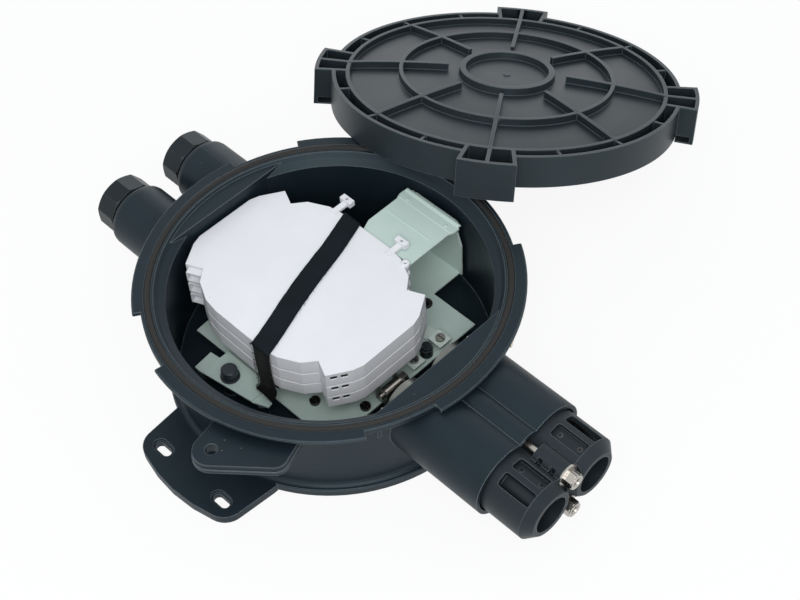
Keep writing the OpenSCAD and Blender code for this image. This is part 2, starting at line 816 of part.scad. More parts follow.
// Sheet-metal base plate with the tower for the arm's hinge and the stack's rest
module base_frame() {
    color(sage) difference() {
        union() {
            share_sheet(plate_shares, plate_z);
            // Back wall of the tower, with a corner cut off and a gap for the arm's barrel
            difference() {
                translate([tower_x, tower_y, 0]) rotate([90, 0, 0]) linear_extrude(sheet_t)
                    polygon([[-tower_w / 2, plate_z], [tower_w / 2, plate_z],
                             [tower_w / 2, hinge_z - 2 * tower_cut],
                             [tower_w / 2 - tower_cut / 3, hinge_z - tower_cut],
                             [tower_w / 2 - tower_cut / 3, hinge_z], [-tower_w / 2, hinge_z]]);
                translate([tower_x - barrel_half - gap, tower_y - 2 * sheet_t,
                           hinge_z - knuckle_r - gap])
                    cube([2 * (barrel_half + gap), 3 * sheet_t, hinge_z]);
            }
            // Outer knuckles
            for (side = [-1, 1])
                along_x(tower_x + side * (barrel_half + gap + ear_knuckle / 2) - ear_knuckle / 2,
                        hinge_y, hinge_z)
                    cylinder(r = knuckle_r, h = ear_knuckle);
            // Tab that the tray arm's shelf rests on
            translate([tower_x, rest_y, plate_z])
                cube([rest_w, sheet_t, stack_z - sheet_t - gap - plate_z]);
        }
        translate([at_share(plate_hole_share)[0], at_share(plate_hole_share)[1], plate_z - over])
            cylinder(r = plate_hole_r, h = sheet_t + 2 * over);
        for (s = standoff_shares)
            translate([at_share(s)[0], at_share(s)[1], plate_z - over])
                cylinder(r = screw_r + run, h = sheet_t + 2 * over);
        along_x(tower_x - tower_w / 2, hinge_y, hinge_z) cylinder(r = pin_r + run, h = tower_w);
    }
}

// Screws that hold the base plate on its standoffs
module frame_screws() {
    color(nickel) for (s = standoff_shares)
        translate([at_share(s)[0], at_share(s)[1], plate_top])
            slotted_screw(screw_r, screw_head_r, screw_head_t, sheet_t + screw_head_r);
}

// Pin of the tray arm's hinge
module hinge_pin() {
    length = 2 * (barrel_half + gap + ear_knuckle);
    color(steel) along_x(tower_x - length / 2, hinge_y, hinge_z) cylinder(r = pin_r, h = length);
}

// Swinging arm: plate at the top, leg behind the stack and shelf below it
module tray_arm() {
    plate_end = hinge_y - knuckle_r - gap;
    color(sage) difference() {
        union() {
            along_x(tower_x - barrel_half, hinge_y, hinge_z)
                cylinder(r = knuckle_r, h = 2 * barrel_half);
            translate([tower_x - barrel_half, plate_end - sheet_t, arm_top - sheet_t])
                cube([2 * barrel_half, hinge_y - plate_end + sheet_t, sheet_t]);
            translate([0, 0, arm_top - sheet_t]) linear_extrude(sheet_t)
                polygon([[tower_x - arm_w / 2 - arm_strip_extra, plate_end],
                         [tower_x - arm_w / 2 - arm_strip_extra, plate_end - arm_strip / 2],
                         [tower_x - arm_w / 2, plate_end - arm_strip],
                         [tower_x - arm_w / 2, leg_y + arm_strip],
                         [tower_x - arm_neck_w / 2, leg_y],
                         [tower_x + arm_w / 2, leg_y],
                         [tower_x + arm_w / 2, plate_end - arm_strip],
                         [tower_x + arm_w / 2 + arm_strip_extra, plate_end - arm_strip / 2],
                         [tower_x + arm_w / 2 + arm_strip_extra, plate_end]]);
            translate([tower_x - arm_neck_w / 2, leg_y, stack_z - sheet_t])
                cube([arm_neck_w, sheet_t, arm_top - stack_z + sheet_t]);
            translate([tower_x - arm_neck_w / 2, shelf_end_y, stack_z - sheet_t])
                cube([arm_neck_w, leg_y - shelf_end_y + sheet_t, sheet_t]);
        }
        along_x(tower_x - barrel_half - over, hinge_y, hinge_z)
            cylinder(r = pin_r + run, h = 2 * (barrel_half + over));
        for (side = [-1, 1])
            translate([tower_x + side * (arm_w / 2 - arm_strip / 1.4), plate_end - arm_strip / 2,
                       arm_top - sheet_t - over])
                cylinder(r = rivet_r / 2 + run, h = sheet_t + 2 * over);
    }
}

// Rivets at the arm's far edge
module arm_rivets() {
    plate_end = hinge_y - knuckle_r - gap;
    color(steel) for (side = [-1, 1])
        translate([tower_x + side * (arm_w / 2 - arm_strip / 1.4), plate_end - arm_strip / 2,
                   arm_top]) {
            cylinder(r1 = rivet_r, r2 = rivet_r / 2, h = rivet_t);
            translate([0, 0, -sheet_t]) cylinder(r = rivet_r / 2, h = sheet_t + rivet_t / 2);
        }
}

// Splice tray on level k of the stack, open at the top
module splice_tray(k) {
    corner = [tray_shares[2][0] * tray_hx, -tray_shares[2][1] * tray_hy];
    shoulder = [tray_shares[1][0] * tray_hx, -tray_shares[1][1] * tray_hy];
    notch = [-tray_shares[3][0] * tray_hx, -tray_shares[3][1] * tray_hy];
    face_turn = atan2(shoulder[1] - corner[1], shoulder[0] - corner[0]);
    entry_turn = atan2(notch[1] - corner[1], notch[0] + corner[0]);
    clip_at = [tray_shares[3][0] * tray_hx, tray_shares[3][1] * tray_hy];
    color(white) translate([stack_at[0], stack_at[1], stack_z + k * tray_pitch]) {
        difference() {
            union() {
                linear_extrude(tray_floor) polygon(tray_outline(tray_foot_step));
                translate([0, 0, tray_floor]) linear_extrude(tray_pitch - tray_floor)
                    polygon(tray_outline(0));
            }
            translate([0, 0, tray_floor]) linear_extrude(tray_pitch)
                polygon(tray_outline(tray_wall));
            // Two windows for fibres in the chamfered corner
            for (s = tray_window_shares)
                translate([corner[0] + s * (shoulder[0] - corner[0]),
                           corner[1] + s * (shoulder[1] - corner[1]),
                           tray_window_height * tray_pitch])
                    rotate([0, 0, face_turn])
                        cube([tray_window[0], 4 * tray_wall, tray_window[1]], center = true);
        }
        // Comb that holds the splices
        for (i = [0:comb_count - 1])
            translate([-comb_len / 2, (i - (comb_count - 1) / 2) * comb_pitch, tray_floor])
                cube([comb_len, comb_t, tray_pitch / 2]);
        // Entry box for fibre tubes beside the notch
        translate([notch[0], notch[1], tray_pitch / 2]) rotate([0, 0, entry_turn])
            difference() {
                translate([-entry_size[0], tray_wall / 2 - entry_size[1], -entry_size[2] / 2])
                    cube(entry_size);
                translate([-entry_size[0] + entry_skin, -entry_size[1] - over,
                           -entry_size[2] / 2 + entry_skin])
                    cube([entry_size[0] - 2 * entry_skin, entry_size[1] - entry_skin + over,
                          entry_size[2] - 2 * entry_skin]);
            }
        // Small hinge clip in the opposite notch
        translate([clip_at[0] - hinge_clip[0], clip_at[1] - hinge_clip[1] / 4,
                   (tray_pitch - hinge_clip[2]) / 2])
            cube(hinge_clip);
    }
}

// Cover of the stack with its two snap clips
module tray_cover() {
    color(white) translate([stack_at[0], stack_at[1], stack_top - cover_t]) {
        linear_extrude(cover_t) polygon(tray_outline(0));
        for (s = clip_shares)
            translate([s[0] * tray_hx, s[1] * tray_hy - clip_w, cover_t / 4])
                difference() {
                    union() {
                        translate([-clip_w / 2, 0, 0]) cube([clip_w, clip_reach, cover_t * 1.2]);
                        translate([-clip_head[0] / 2, clip_reach, 0]) cube(clip_head);
                    }
                    translate([0, clip_reach + clip_head[1] / 2, -over])
                        cylinder(r = clip_head[1] / 4, h = clip_head[2] + 2 * over);
                }
    }
}

// Hook-and-loop strap round the stack and the arm's shelf
module tray_strap() {
    skin = strap_t / 2;
    back = [strap_back_x, strap_back_y + skin];
    front = [strap_front_x, strap_front_y - skin];
    half = strap_w / 2;
    color(rubber) union() {
        for (level = [strap_low, strap_top])
            translate([0, 0, level]) linear_extrude(strap_t)
                polygon([back + [-half, skin], back + [-half, -skin],
                         front + [-half, skin], front + [-half, -skin],
                         front + [half, -skin], front + [half, skin],
                         back + [half, -skin], back + [half, skin]]);
        for (p = [back, front])
            translate([p[0] - half, p[1] - skin, strap_low])
                cube([strap_w, strap_t, strap_top - strap_low + strap_t]);
    }
}

// Hat-shaped bracket at the front of the base plate
module knob_bracket() {
    color(sage) difference() {
        union() {
            share_sheet(knob_main_shares, knob_plate_z);
            share_sheet(knob_left_shares, knob_plate_z - tab_step);
            share_sheet(knob_right_shares, knob_plate_z - tab_step);
        }
        translate([knob_at[0], knob_at[1], knob_plate_z - over])
            cylinder(r = knob_stud_r + run, h = sheet_t + 2 * over);
    }
}

// Captive thumb screw with a round knob
module knob() {
    bottom = knob_plate_z + sheet_t;
    color(black) translate([knob_at[0], knob_at[1], 0]) {
        translate([0, 0, floor_t + 2 * sheet_t])
            cylinder(r = knob_stud_r, h = bottom - floor_t - sheet_t);
        translate([0, 0, bottom + run]) cylinder(r = knob_base_r, h = knob_base_t);
        translate([0, 0, bottom + run]) cylinder(r = knob_neck_r, h = knob_base_t + knob_neck_t);
        translate([0, 0, bottom + run + knob_base_t + knob_neck_t])
            rotate_extrude()
                polygon([[0, 0], [knob_r, 0], [knob_r, knob_head_t - knob_base_t - knob_neck_t],
                         [knob_r - edge, knob_head_t - knob_base_t - knob_neck_t + edge],
                         [0, knob_head_t - knob_base_t - knob_neck_t + edge]]);
    }
}

// Stepped tabs that clamp the cables' strength members
module strength_clamps() {
    color(sage) for (s = clamp_shares)
        translate([at_share(s)[0], at_share(s)[1], plate_top]) difference() {
            union() {
                translate([-1.5 * clamp_size, -clamp_size / 2, 0])
                    cube([clamp_size, clamp_size, sheet_t]);
                translate([-clamp_size / 2 - sheet_t, -clamp_size / 2, 0])
                    cube([sheet_t, clamp_size, clamp_rise]);
                translate([-clamp_size / 2 - sheet_t, -clamp_size / 2, clamp_rise - sheet_t])
                    cube([clamp_size + sheet_t, clamp_size, sheet_t]);
            }
            cylinder(r = clamp_screw_r + run, h = clamp_rise + over);
        }
}

// Slotted screws in the clamp tabs
module clamp_screws() {
    color(steel) for (s = clamp_shares)
        translate([at_share(s)[0], at_share(s)[1], plate_top + clamp_rise])
            slotted_screw(clamp_screw_r, clamp_head_r, screw_head_t, clamp_rise - gap);
}

// Dark earthing post with its screw
module earth_terminal() {
    color(black) translate([at_share(terminal_share)[0], at_share(terminal_share)[1], plate_top]) {
        cylinder(r = terminal_r, h = terminal_t);
        translate([0, 0, terminal_t])
            slotted_screw(screw_r, screw_head_r, screw_head_t, screw_head_t);
    }
}

// Fork on the plate's edge that holds the anchor bolt
module cable_anchor() {
    color(steel) difference() {
        union() {
            for (y = anchor_ears)
                translate([anchor_x - anchor_depth / 4, y - sheet_t / 2, plate_top])
                    cube([anchor_depth, sheet_t, anchor_h]);
            translate([anchor_x - anchor_depth / 4, anchor_ears[1] - sheet_t / 2, plate_top])
                cube([anchor_depth / 4, anchor_ears[0] - anchor_ears[1] + sheet_t, sheet_t]);
        }
        for (y = anchor_ears)
            translate([anchor_x + anchor_depth / 3, y + sheet_t, anchor_bolt_z]) rotate([90, 0, 0])
                cylinder(r = anchor_shank_r + run, h = 2 * sheet_t);
    }
}

// Hexagon bolt with a bright spacer between the fork's ears
module anchor_bolt() {
    bright = anchor_ears[0] - anchor_ears[1] - sheet_t;
    color(nickel) translate([anchor_x + anchor_depth / 3, anchor_ears[0] + sheet_t / 2, anchor_bolt_z])
        rotate([90, 0, 0]) {
            translate([0, 0, -anchor_hex_t]) cylinder(r = anchor_hex_r, h = anchor_hex_t, $fn = 6);
            translate([0, 0, -anchor_hex_t / 2])
                cylinder(r = anchor_shank_r, h = bright + 2 * sheet_t + anchor_hex_t);
            translate([0, 0, sheet_t]) cylinder(r = anchor_barrel_r, h = bright);
        }
}

// Saddles on the tub's floor, one inside each port
module cable_saddles() {
    color(steel) for (side = [-1, 1])
        translate([band_x - saddle_len / 2, side * port_half - saddle_half, 0]) {
            translate([-sheet_t, 0, floor_t]) cube([saddle_foot, 2 * saddle_half, sheet_t]);
            translate([-sheet_t, 0, floor_t])
                cube([sheet_t, 2 * saddle_half, saddle_z + sheet_t - floor_t]);
            translate([-sheet_t, 0, saddle_z]) cube([saddle_len + sheet_t, 2 * saddle_half, sheet_t]);
        }
}

// Turns a form that stands on a band's top to the band's outer side
module at_housing(side) {
    translate([band_x, side * port_half, port_z]) rotate([-side * housing_bearing, 0, 0]) children();
}

// Steel band with its worm housing
module hose_clamp(side) {
    color(nickel) difference() {
        union() {
            along_x(band_x - band_w / 2, side * port_half, port_z) difference() {
                cylinder(r = band_r + band_t, h = band_w);
                translate([0, 0, -over]) cylinder(r = band_r, h = band_w + 2 * over);
            }
            at_housing(side) translate([-housing[0] / 2, -housing[1] / 2, band_r + band_t / 2])
                cube(housing);
        }
        at_housing(side) translate([0, -housing[1], band_r + housing[2] / 2 + band_t])
            rotate([-90, 0, 0]) cylinder(r = worm_r + run, h = 2 * housing[1]);
    }
}

// Worm screw of a hose clamp
module worm_screw(side) {
    color(steel) at_housing(side) translate([0, 0, band_r + housing[2] / 2 + band_t])
        rotate([side * 90, 0, 0]) {
            translate([0, 0, -housing[1] / 2 - worm_hex_t / 4])
                cylinder(r = worm_r, h = housing[1] + worm_hex_t / 2);
            translate([0, 0, housing[1] / 2 + run])
                cylinder(r = worm_hex_r, h = worm_hex_t, $fn = 6);
        }
}

// One tab of the lid: two open cells, an outer wall and the hook that goes under a lug
module lid_tab() {
    inner = ring_out_r - lid_wall / 2;
    half = tab_span / 2;
    rotate([0, 0, -half]) rotate_extrude(angle = tab_span, $fn = 128) {
        translate([ring_out_r - edge, trench_z])
            square([tab_r - tab_wall - ring_out_r + 2 * edge, trench_t]);
        translate([tab_r - tab_wall, -tab_drop]) square([tab_wall, lid_h + tab_drop]);
        translate([lug_r - hook_reach, -tab_drop])
            square([tab_r - tab_wall - lug_r + hook_reach + edge, hook_t]);
    }
    for (side = [-1, 0, 1])
        rotate([0, 0, side * half]) translate([inner, -tab_wall * (1 + side) / 2, trench_z])
            cube([tab_r - tab_wall / 2 - inner, tab_wall, lid_h - trench_z]);
}

// Bayonet lid in its own frame, z = 0 at the skirt's lower edge
module lid_in_place() {
    steps = 8;
    rise = [for (i = [0:steps]) ring_out_in * i / steps];
    // Domed plate
    rotate_extrude($fn = 128)
        polygon(concat([for (r = rise) [r, dome(r, plate_drop)]],
                       [[ring_out_r - edge, dome(ring_out_in, plate_drop)],
                        [ring_out_r - edge, dome(ring_out_in, plate_drop + lid_wall)]],
                       [for (i = [steps:-1:0]) [rise[i], dome(rise[i], plate_drop + lid_wall)]]));
    // Three rings, the outer one reaching down to the trench
    rotate_extrude($fn = 128) {
        polygon([[ring_in_r - ring_in_w, dome(ring_in_r, plate_drop + edge)],
                 [ring_in_r + edge, dome(ring_in_r, plate_drop + edge)],
                 [ring_in_r, dome(ring_in_r, 0)], [ring_in_r - ring_in_w + edge, dome(ring_in_r, 0)]]);
        polygon([[ring_mid_r - lid_wall, dome(ring_mid_r, plate_drop + edge)],
                 [ring_mid_r, dome(ring_mid_r, plate_drop + edge)],
                 [ring_mid_r, dome(ring_mid_r, 0)], [ring_mid_r - lid_wall, dome(ring_mid_r, 0)]]);
        translate([ring_out_in, trench_z]) square([lid_wall, lid_h - trench_z]);
        translate([ring_out_in, trench_z]) square([lid_r - ring_out_in - edge, trench_t]);
    }
    // Eight ribs over the plate
    outer = [for (r = rise) if (r >= ring_in_r - ring_in_w) r];
    intersection() {
        rotate_extrude($fn = 128)
            polygon(concat([for (r = outer) [r, dome(r, 0)]],
                           [[ring_out_r - edge, dome(ring_out_in, 0)],
                            [ring_out_r - edge, dome(ring_out_in, plate_drop + edge)]],
                           [for (i = [len(outer) - 1:-1:0])
                                [outer[i], dome(outer[i], plate_drop + edge)]]));
        union() {
            for (k = [0:7])
                rotate([0, 0, 45 * k]) translate([ring_in_r - edge, -rib_w / 2, 0])
                    cube([ring_out_r - ring_in_r, rib_w, lid_h + lid_crown]);
        }
    }
    // Skirt between the tabs, and the tabs
    for (k = [0:3])
        rotate([0, 0, 90 * k]) {
            rotate([0, 0, tab_span / 2 - 1])
                rotate_extrude(angle = 92 - tab_span, $fn = 128)
                    translate([lid_skirt_in, 0]) square([lid_wall, lid_h]);
            lid_tab();
        }
    // Ribs across the trench
    for (k = [0:15])
        if (k % 4 != 0)
            rotate([0, 0, 22.5 * k])
                translate([ring_out_r - edge, -trench_rib_w / 2, trench_z + trench_t - edge])
                    cube([lid_skirt_in - ring_out_r + 2 * edge, trench_rib_w,
                          lid_h - trench_z - trench_t]);
    translate([0, 0, dome(0, plate_drop + edge)]) cylinder(r = dimple_r, h = dimple_h + edge);
}

// Lid lifted off, leaning on the rim with its far tab on the floor
module lid_shell() {
    color(charcoal)
        translate([lid_reach * cos(lid_bearing), lid_reach * sin(lid_bearing), lid_foot_z])
            rotate([0, 0, lid_slope_bearing]) rotate([0, lid_tilt, 0])
                rotate([0, 0, lid_turn]) lid_in_place();
}

tub_shell();
rim_gasket();
port_seal();
pressure_plate();
compression_bolts();
pressure_collar();
bolt_washers();
compression_nut(1);  // compression_nut_upper
compression_nut(-1);  // compression_nut_lower
gland_body(-1);  // gland_body_1
gland_body(1);  // gland_body_2
gland_seal(-1);  // gland_seal_1
gland_seal(1);  // gland_seal_2
gland_nut(-1);  // gland_nut_1
gland_nut(1);  // gland_nut_2
pressure_valve();
valve_cap();
base_frame();
frame_screws();
hinge_pin();
tray_arm();
arm_rivets();
splice_tray(0);  // splice_tray_1
splice_tray(1);  // splice_tray_2
splice_tray(2);  // splice_tray_3
tray_cover();
tray_strap();
knob_bracket();
knob();
strength_clamps();
clamp_screws();
earth_terminal();
cable_anchor();
anchor_bolt();
cable_saddles();
hose_clamp(-1);  // hose_clamp_1
hose_clamp(1);  // hose_clamp_2
worm_screw(-1);  // worm_screw_1
worm_screw(1);  // worm_screw_2
lid_shell();
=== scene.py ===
"""Looks of a round fibre splice closure with its lid off: finishes, strap, fine fittings and studio."""

from __future__ import annotations

import logging
import math
import random
from dataclasses import dataclass, field
from enum import Enum
from typing import Any, Callable, Iterable, Sequence

import bpy
from mathutils import Matrix, Vector

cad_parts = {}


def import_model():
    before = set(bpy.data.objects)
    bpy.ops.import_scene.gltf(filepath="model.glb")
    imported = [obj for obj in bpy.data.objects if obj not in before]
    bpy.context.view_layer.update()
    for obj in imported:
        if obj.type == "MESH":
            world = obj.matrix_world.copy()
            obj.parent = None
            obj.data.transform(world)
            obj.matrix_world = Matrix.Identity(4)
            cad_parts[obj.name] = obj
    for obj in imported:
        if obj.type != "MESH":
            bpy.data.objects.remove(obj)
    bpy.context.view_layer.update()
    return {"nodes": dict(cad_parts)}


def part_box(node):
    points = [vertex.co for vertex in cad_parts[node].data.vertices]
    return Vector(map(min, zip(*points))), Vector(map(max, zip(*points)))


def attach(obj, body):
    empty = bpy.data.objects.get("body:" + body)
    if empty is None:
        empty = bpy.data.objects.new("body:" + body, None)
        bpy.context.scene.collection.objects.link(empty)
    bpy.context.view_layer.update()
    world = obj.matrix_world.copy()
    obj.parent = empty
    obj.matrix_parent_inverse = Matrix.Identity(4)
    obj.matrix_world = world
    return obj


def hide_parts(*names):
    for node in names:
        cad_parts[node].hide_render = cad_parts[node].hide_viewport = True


LOG = logging.getLogger("splice_closure")
MM = 0.001
Colour = tuple[float, float, float]
Place = tuple[float, float, float]
Profile = tuple[tuple[float, float], ...]


class Body(Enum):
    """Rigid bodies of the closure that dressed pieces ride on."""

    TUB = "tub"
    COLLAR = "collar"
    TRAYS = "tray_stack"


class Surface(Enum):
    """Names of the shared surface effects."""

    # Mask for the painted highlight along edges, and the normal that rounds them
    EDGES = "painted_edge_highlight_and_rounding"
    GRAIN = "mould_grain"
    DUST = "dust_specks"
    CLOUDS = "soft_clouds"
    PILE = "loop_pile"


def mm(x: float, y: float, z: float) -> Vector:
    """Returns a place given in millimetres as a vector in metres."""
    return Vector((x * MM, y * MM, z * MM))


@dataclass
class Sketch:
    """Node tree that is drawn by short calls."""

    tree: bpy.types.NodeTree

    def node(self, kind: str, **values: Any) -> bpy.types.Node:
        """Adds a node.

        Args:
            kind: Type name of the node.
            values: Attributes to set on it.

        Returns:
            The new node.
        """
        made = self.tree.nodes.new(kind)
        for name, value in values.items():
            setattr(made, name, value)
        return made

    def join(self, source: Any, target: Any) -> None:
        """Links an output socket, or sets a plain value, on an input socket.

        Args:
            source: Output socket or plain value.
            target: Input socket that takes it.
        """
        if isinstance(source, bpy.types.NodeSocket):
            self.tree.links.new(source, target)
        else:
            target.default_value = source

    def math(self, operation: str, first: Any, second: Any = 0.0, clamp: bool = False) -> Any:
        """Adds a maths node.

        Args:
            operation: Name of the operation.
            first: Socket or number.
            second: Socket or number.
            clamp: Whether the result stays between 0 and 1.

        Returns:
            The node's output socket.
        """
        made = self.node("ShaderNodeMath", operation=operation, use_clamp=clamp)
        self.join(first, made.inputs[0])
        self.join(second, made.inputs[1])
        return made.outputs[0]

    def ramp(self, value: Any, low: float, high: float, bottom: float = 0.0, top: float = 1.0) -> Any:
        """Maps a value's stretch from low to high onto bottom to top.

        Args:
            value: Socket that holds the value.
            low: Value that becomes bottom.
            high: Value that becomes top.
            bottom: Lowest result.
            top: Highest result.

        Returns:
            The mapped output socket.
        """
        made = self.node("ShaderNodeMapRange")
        self.join(value, made.inputs["Value"])
        made.inputs["From Min"].default_value = low
        made.inputs["From Max"].default_value = high
        made.inputs["To Min"].default_value = bottom
        made.inputs["To Max"].default_value = top
        return made.outputs["Result"]

    def blend(self, factor: Any, first: Any, second: Any) -> Any:
        """Mixes two colours.

        Args:
            factor: Socket or number, 0 for the first colour.
            first: Socket or colour.
            second: Socket or colour.

        Returns:
            The mixed colour's socket.
        """
        made = self.node("ShaderNodeMix", data_type="RGBA")
        self.join(factor, made.inputs[0])
        for entry, socket in ((first, made.inputs[6]), (second, made.inputs[7])):
            self.join(entry if isinstance(entry, bpy.types.NodeSocket) else (*entry, 1.0), socket)
        return made.outputs[2]

    def shaders(self, factor: Any, first: bpy.types.Node, second: bpy.types.Node) -> Any:
        """Mixes two shaders.

        Args:
            factor: Socket or number, 0 for the first shader.
            first: Node of the first shader.
            second: Node of the second shader.

        Returns:
            The mixed shader's socket.
        """
        made = self.node("ShaderNodeMixShader")
        for entry, socket in zip((factor, first.outputs[0], second.outputs[0]), made.inputs):
            self.join(entry, socket)
        return made.outputs[0]


@dataclass
class Effects:
    """Shader node groups that several finishes share."""

    groups: dict[Surface, bpy.types.NodeTree] = field(default_factory=dict)

    def group(self, surface: Surface) -> bpy.types.NodeTree:
        """Finds the group of an effect, or builds it on its first use.

        Args:
            surface: The effect.

        Returns:
            The group's node tree.
        """
        if surface not in self.groups:
            makers: dict[Surface, Callable[[], bpy.types.NodeTree]] = {
                Surface.EDGES: self._edges, Surface.GRAIN: self._grain, Surface.DUST: self._dust,
                Surface.CLOUDS: self._clouds, Surface.PILE: self._pile}
            self.groups[surface] = makers[surface]()
        return self.groups[surface]

    def place(self, sketch: Sketch, surface: Surface, **values: float) -> bpy.types.Node:
        """Places an effect in a material.

        Args:
            sketch: The material's node tree.
            surface: The effect.
            values: Values of the group's inputs.

        Returns:
            The group node.
        """
        made = sketch.node("ShaderNodeGroup", node_tree=self.group(surface))
        for name, value in values.items():
            made.inputs[name].default_value = value
        return made

    @staticmethod
    def _start(surface: Surface, inputs: dict[str, float],
               outputs: dict[str, str]) -> tuple[Sketch, Any, Any]:
        """Opens a group with its sockets.

        Args:
            surface: The effect.
            inputs: Names and first values of the number inputs.
            outputs: Names and socket types of the outputs.

        Returns:
            The sketch, the group's input node and its output node.
        """
        tree = bpy.data.node_groups.new(surface.value, "ShaderNodeTree")
        for name, value in inputs.items():
            socket = tree.interface.new_socket(name, in_out="INPUT", socket_type="NodeSocketFloat")
            socket.default_value = value
        for name, kind in outputs.items():
            tree.interface.new_socket(name, in_out="OUTPUT", socket_type=kind)
        sketch = Sketch(tree)
        return sketch, sketch.node("NodeGroupInput"), sketch.node("NodeGroupOutput")

    @staticmethod
    def _texture(sketch: Sketch, given: Any, kind: str, **values: Any) -> bpy.types.Node:
        """Adds a texture over the object's own coordinates, at the group's scale.

        Args:
            sketch: The group's node tree.
            given: The group's input node.
            kind: Type name of the texture node.
            values: Attributes to set on it.

        Returns:
            The texture node.
        """
        made = sketch.node(kind, **values)
        sketch.join(sketch.node("ShaderNodeTexCoord").outputs["Object"], made.inputs["Vector"])
        sketch.join(given.outputs["Scale"], made.inputs["Scale"])
        return made

    def _edges(self) -> bpy.types.NodeTree:
        """Builds the mask of rounded edges, for the highlight painted along them, and the normal that
        rounds them.

        Returns:
            The group's node tree.
        """
        sketch, given, result = self._start(
            Surface.EDGES, {"Radius": 0.0008}, {"Mask": "NodeSocketFloat", "Normal": "NodeSocketVector"})
        bevel = sketch.node("ShaderNodeBevel", samples=4)
        sketch.join(given.outputs["Radius"], bevel.inputs["Radius"])
        geometry = sketch.node("ShaderNodeNewGeometry")
        dot = sketch.node("ShaderNodeVectorMath", operation="DOT_PRODUCT")
        sketch.join(bevel.outputs[0], dot.inputs[0])
        sketch.join(geometry.outputs["Normal"], dot.inputs[1])
        away = sketch.math("SUBTRACT", 1.0, dot.outputs["Value"])
        sketch.join(sketch.ramp(away, low=0.01, high=0.22), result.inputs["Mask"])
        sketch.join(bevel.outputs[0], result.inputs["Normal"])
        return sketch.tree

    def _grain(self) -> bpy.types.NodeTree:
        """Builds the fine leathery grain of a moulded or painted skin.

        Returns:
            The group's node tree.
        """
        sketch, given, result = self._start(
            Surface.GRAIN, {"Scale": 1500.0}, {"Height": "NodeSocketFloat"})
        noise = self._texture(sketch, given, "ShaderNodeTexNoise")
        noise.inputs["Detail"].default_value = 3.0
        sketch.join(noise.outputs["Fac"], result.inputs["Height"])
        return sketch.tree

    def _dust(self) -> bpy.types.NodeTree:
        """Builds sparse pale specks of dust, of which Share says how many cells hold one.

        Returns:
            The group's node tree.
        """
        sketch, given, result = self._start(
            Surface.DUST, {"Scale": 260.0, "Share": 0.05}, {"Mask": "NodeSocketFloat"})
        cells = self._texture(sketch, given, "ShaderNodeTexVoronoi")
        near = sketch.ramp(cells.outputs["Distance"], low=0.10, high=0.05)
        split = sketch.node("ShaderNodeSeparateColor")
        sketch.join(cells.outputs["Color"], split.inputs[0])
        chosen = sketch.math("LESS_THAN", split.outputs[0], given.outputs["Share"])
        sketch.join(sketch.math("MULTIPLY", near, chosen), result.inputs["Mask"])
        return sketch.tree

    def _clouds(self) -> bpy.types.NodeTree:
        """Builds broad soft variation, as on a handled surface.

        Returns:
            The group's node tree.
        """
        sketch, given, result = self._start(
            Surface.CLOUDS, {"Scale": 18.0}, {"Value": "NodeSocketFloat"})
        noise = self._texture(sketch, given, "ShaderNodeTexNoise")
        noise.inputs["Detail"].default_value = 5.0
        noise.inputs["Roughness"].default_value = 0.6
        sketch.join(sketch.ramp(noise.outputs["Fac"], low=0.3, high=0.7), result.inputs["Value"])
        return sketch.tree

    def _pile(self) -> bpy.types.NodeTree:
        """Builds the tangled loops of a hook-and-loop band, with a value that is low in their hollows for
        the painted shade there.

        Returns:
            The group's node tree.
        """
        sketch, given, result = self._start(
            Surface.PILE, {"Scale": 1400.0}, {"Height": "NodeSocketFloat", "Value": "NodeSocketFloat"})
        cells = self._texture(sketch, given, "ShaderNodeTexVoronoi", feature="SMOOTH_F1")
        noise = self._texture(sketch, given, "ShaderNodeTexNoise")
        noise.inputs["Detail"].default_value = 6.0
        height = sketch.math("ADD", cells.outputs["Distance"], noise.outputs["Fac"])
        sketch.join(height, result.inputs["Height"])
        # Value is low in the pile's hollows and paints shade there
        sketch.join(sketch.ramp(height, low=0.6, high=1.3), result.inputs["Value"])
        return sketch.tree


EFFECTS = Effects()

# Turns of a thread's three corners in radians, and the share of its radius that is left at its end
FIBRE_TURNS = (0.0, 2.094, 4.189)
FIBRE_END = 0.4


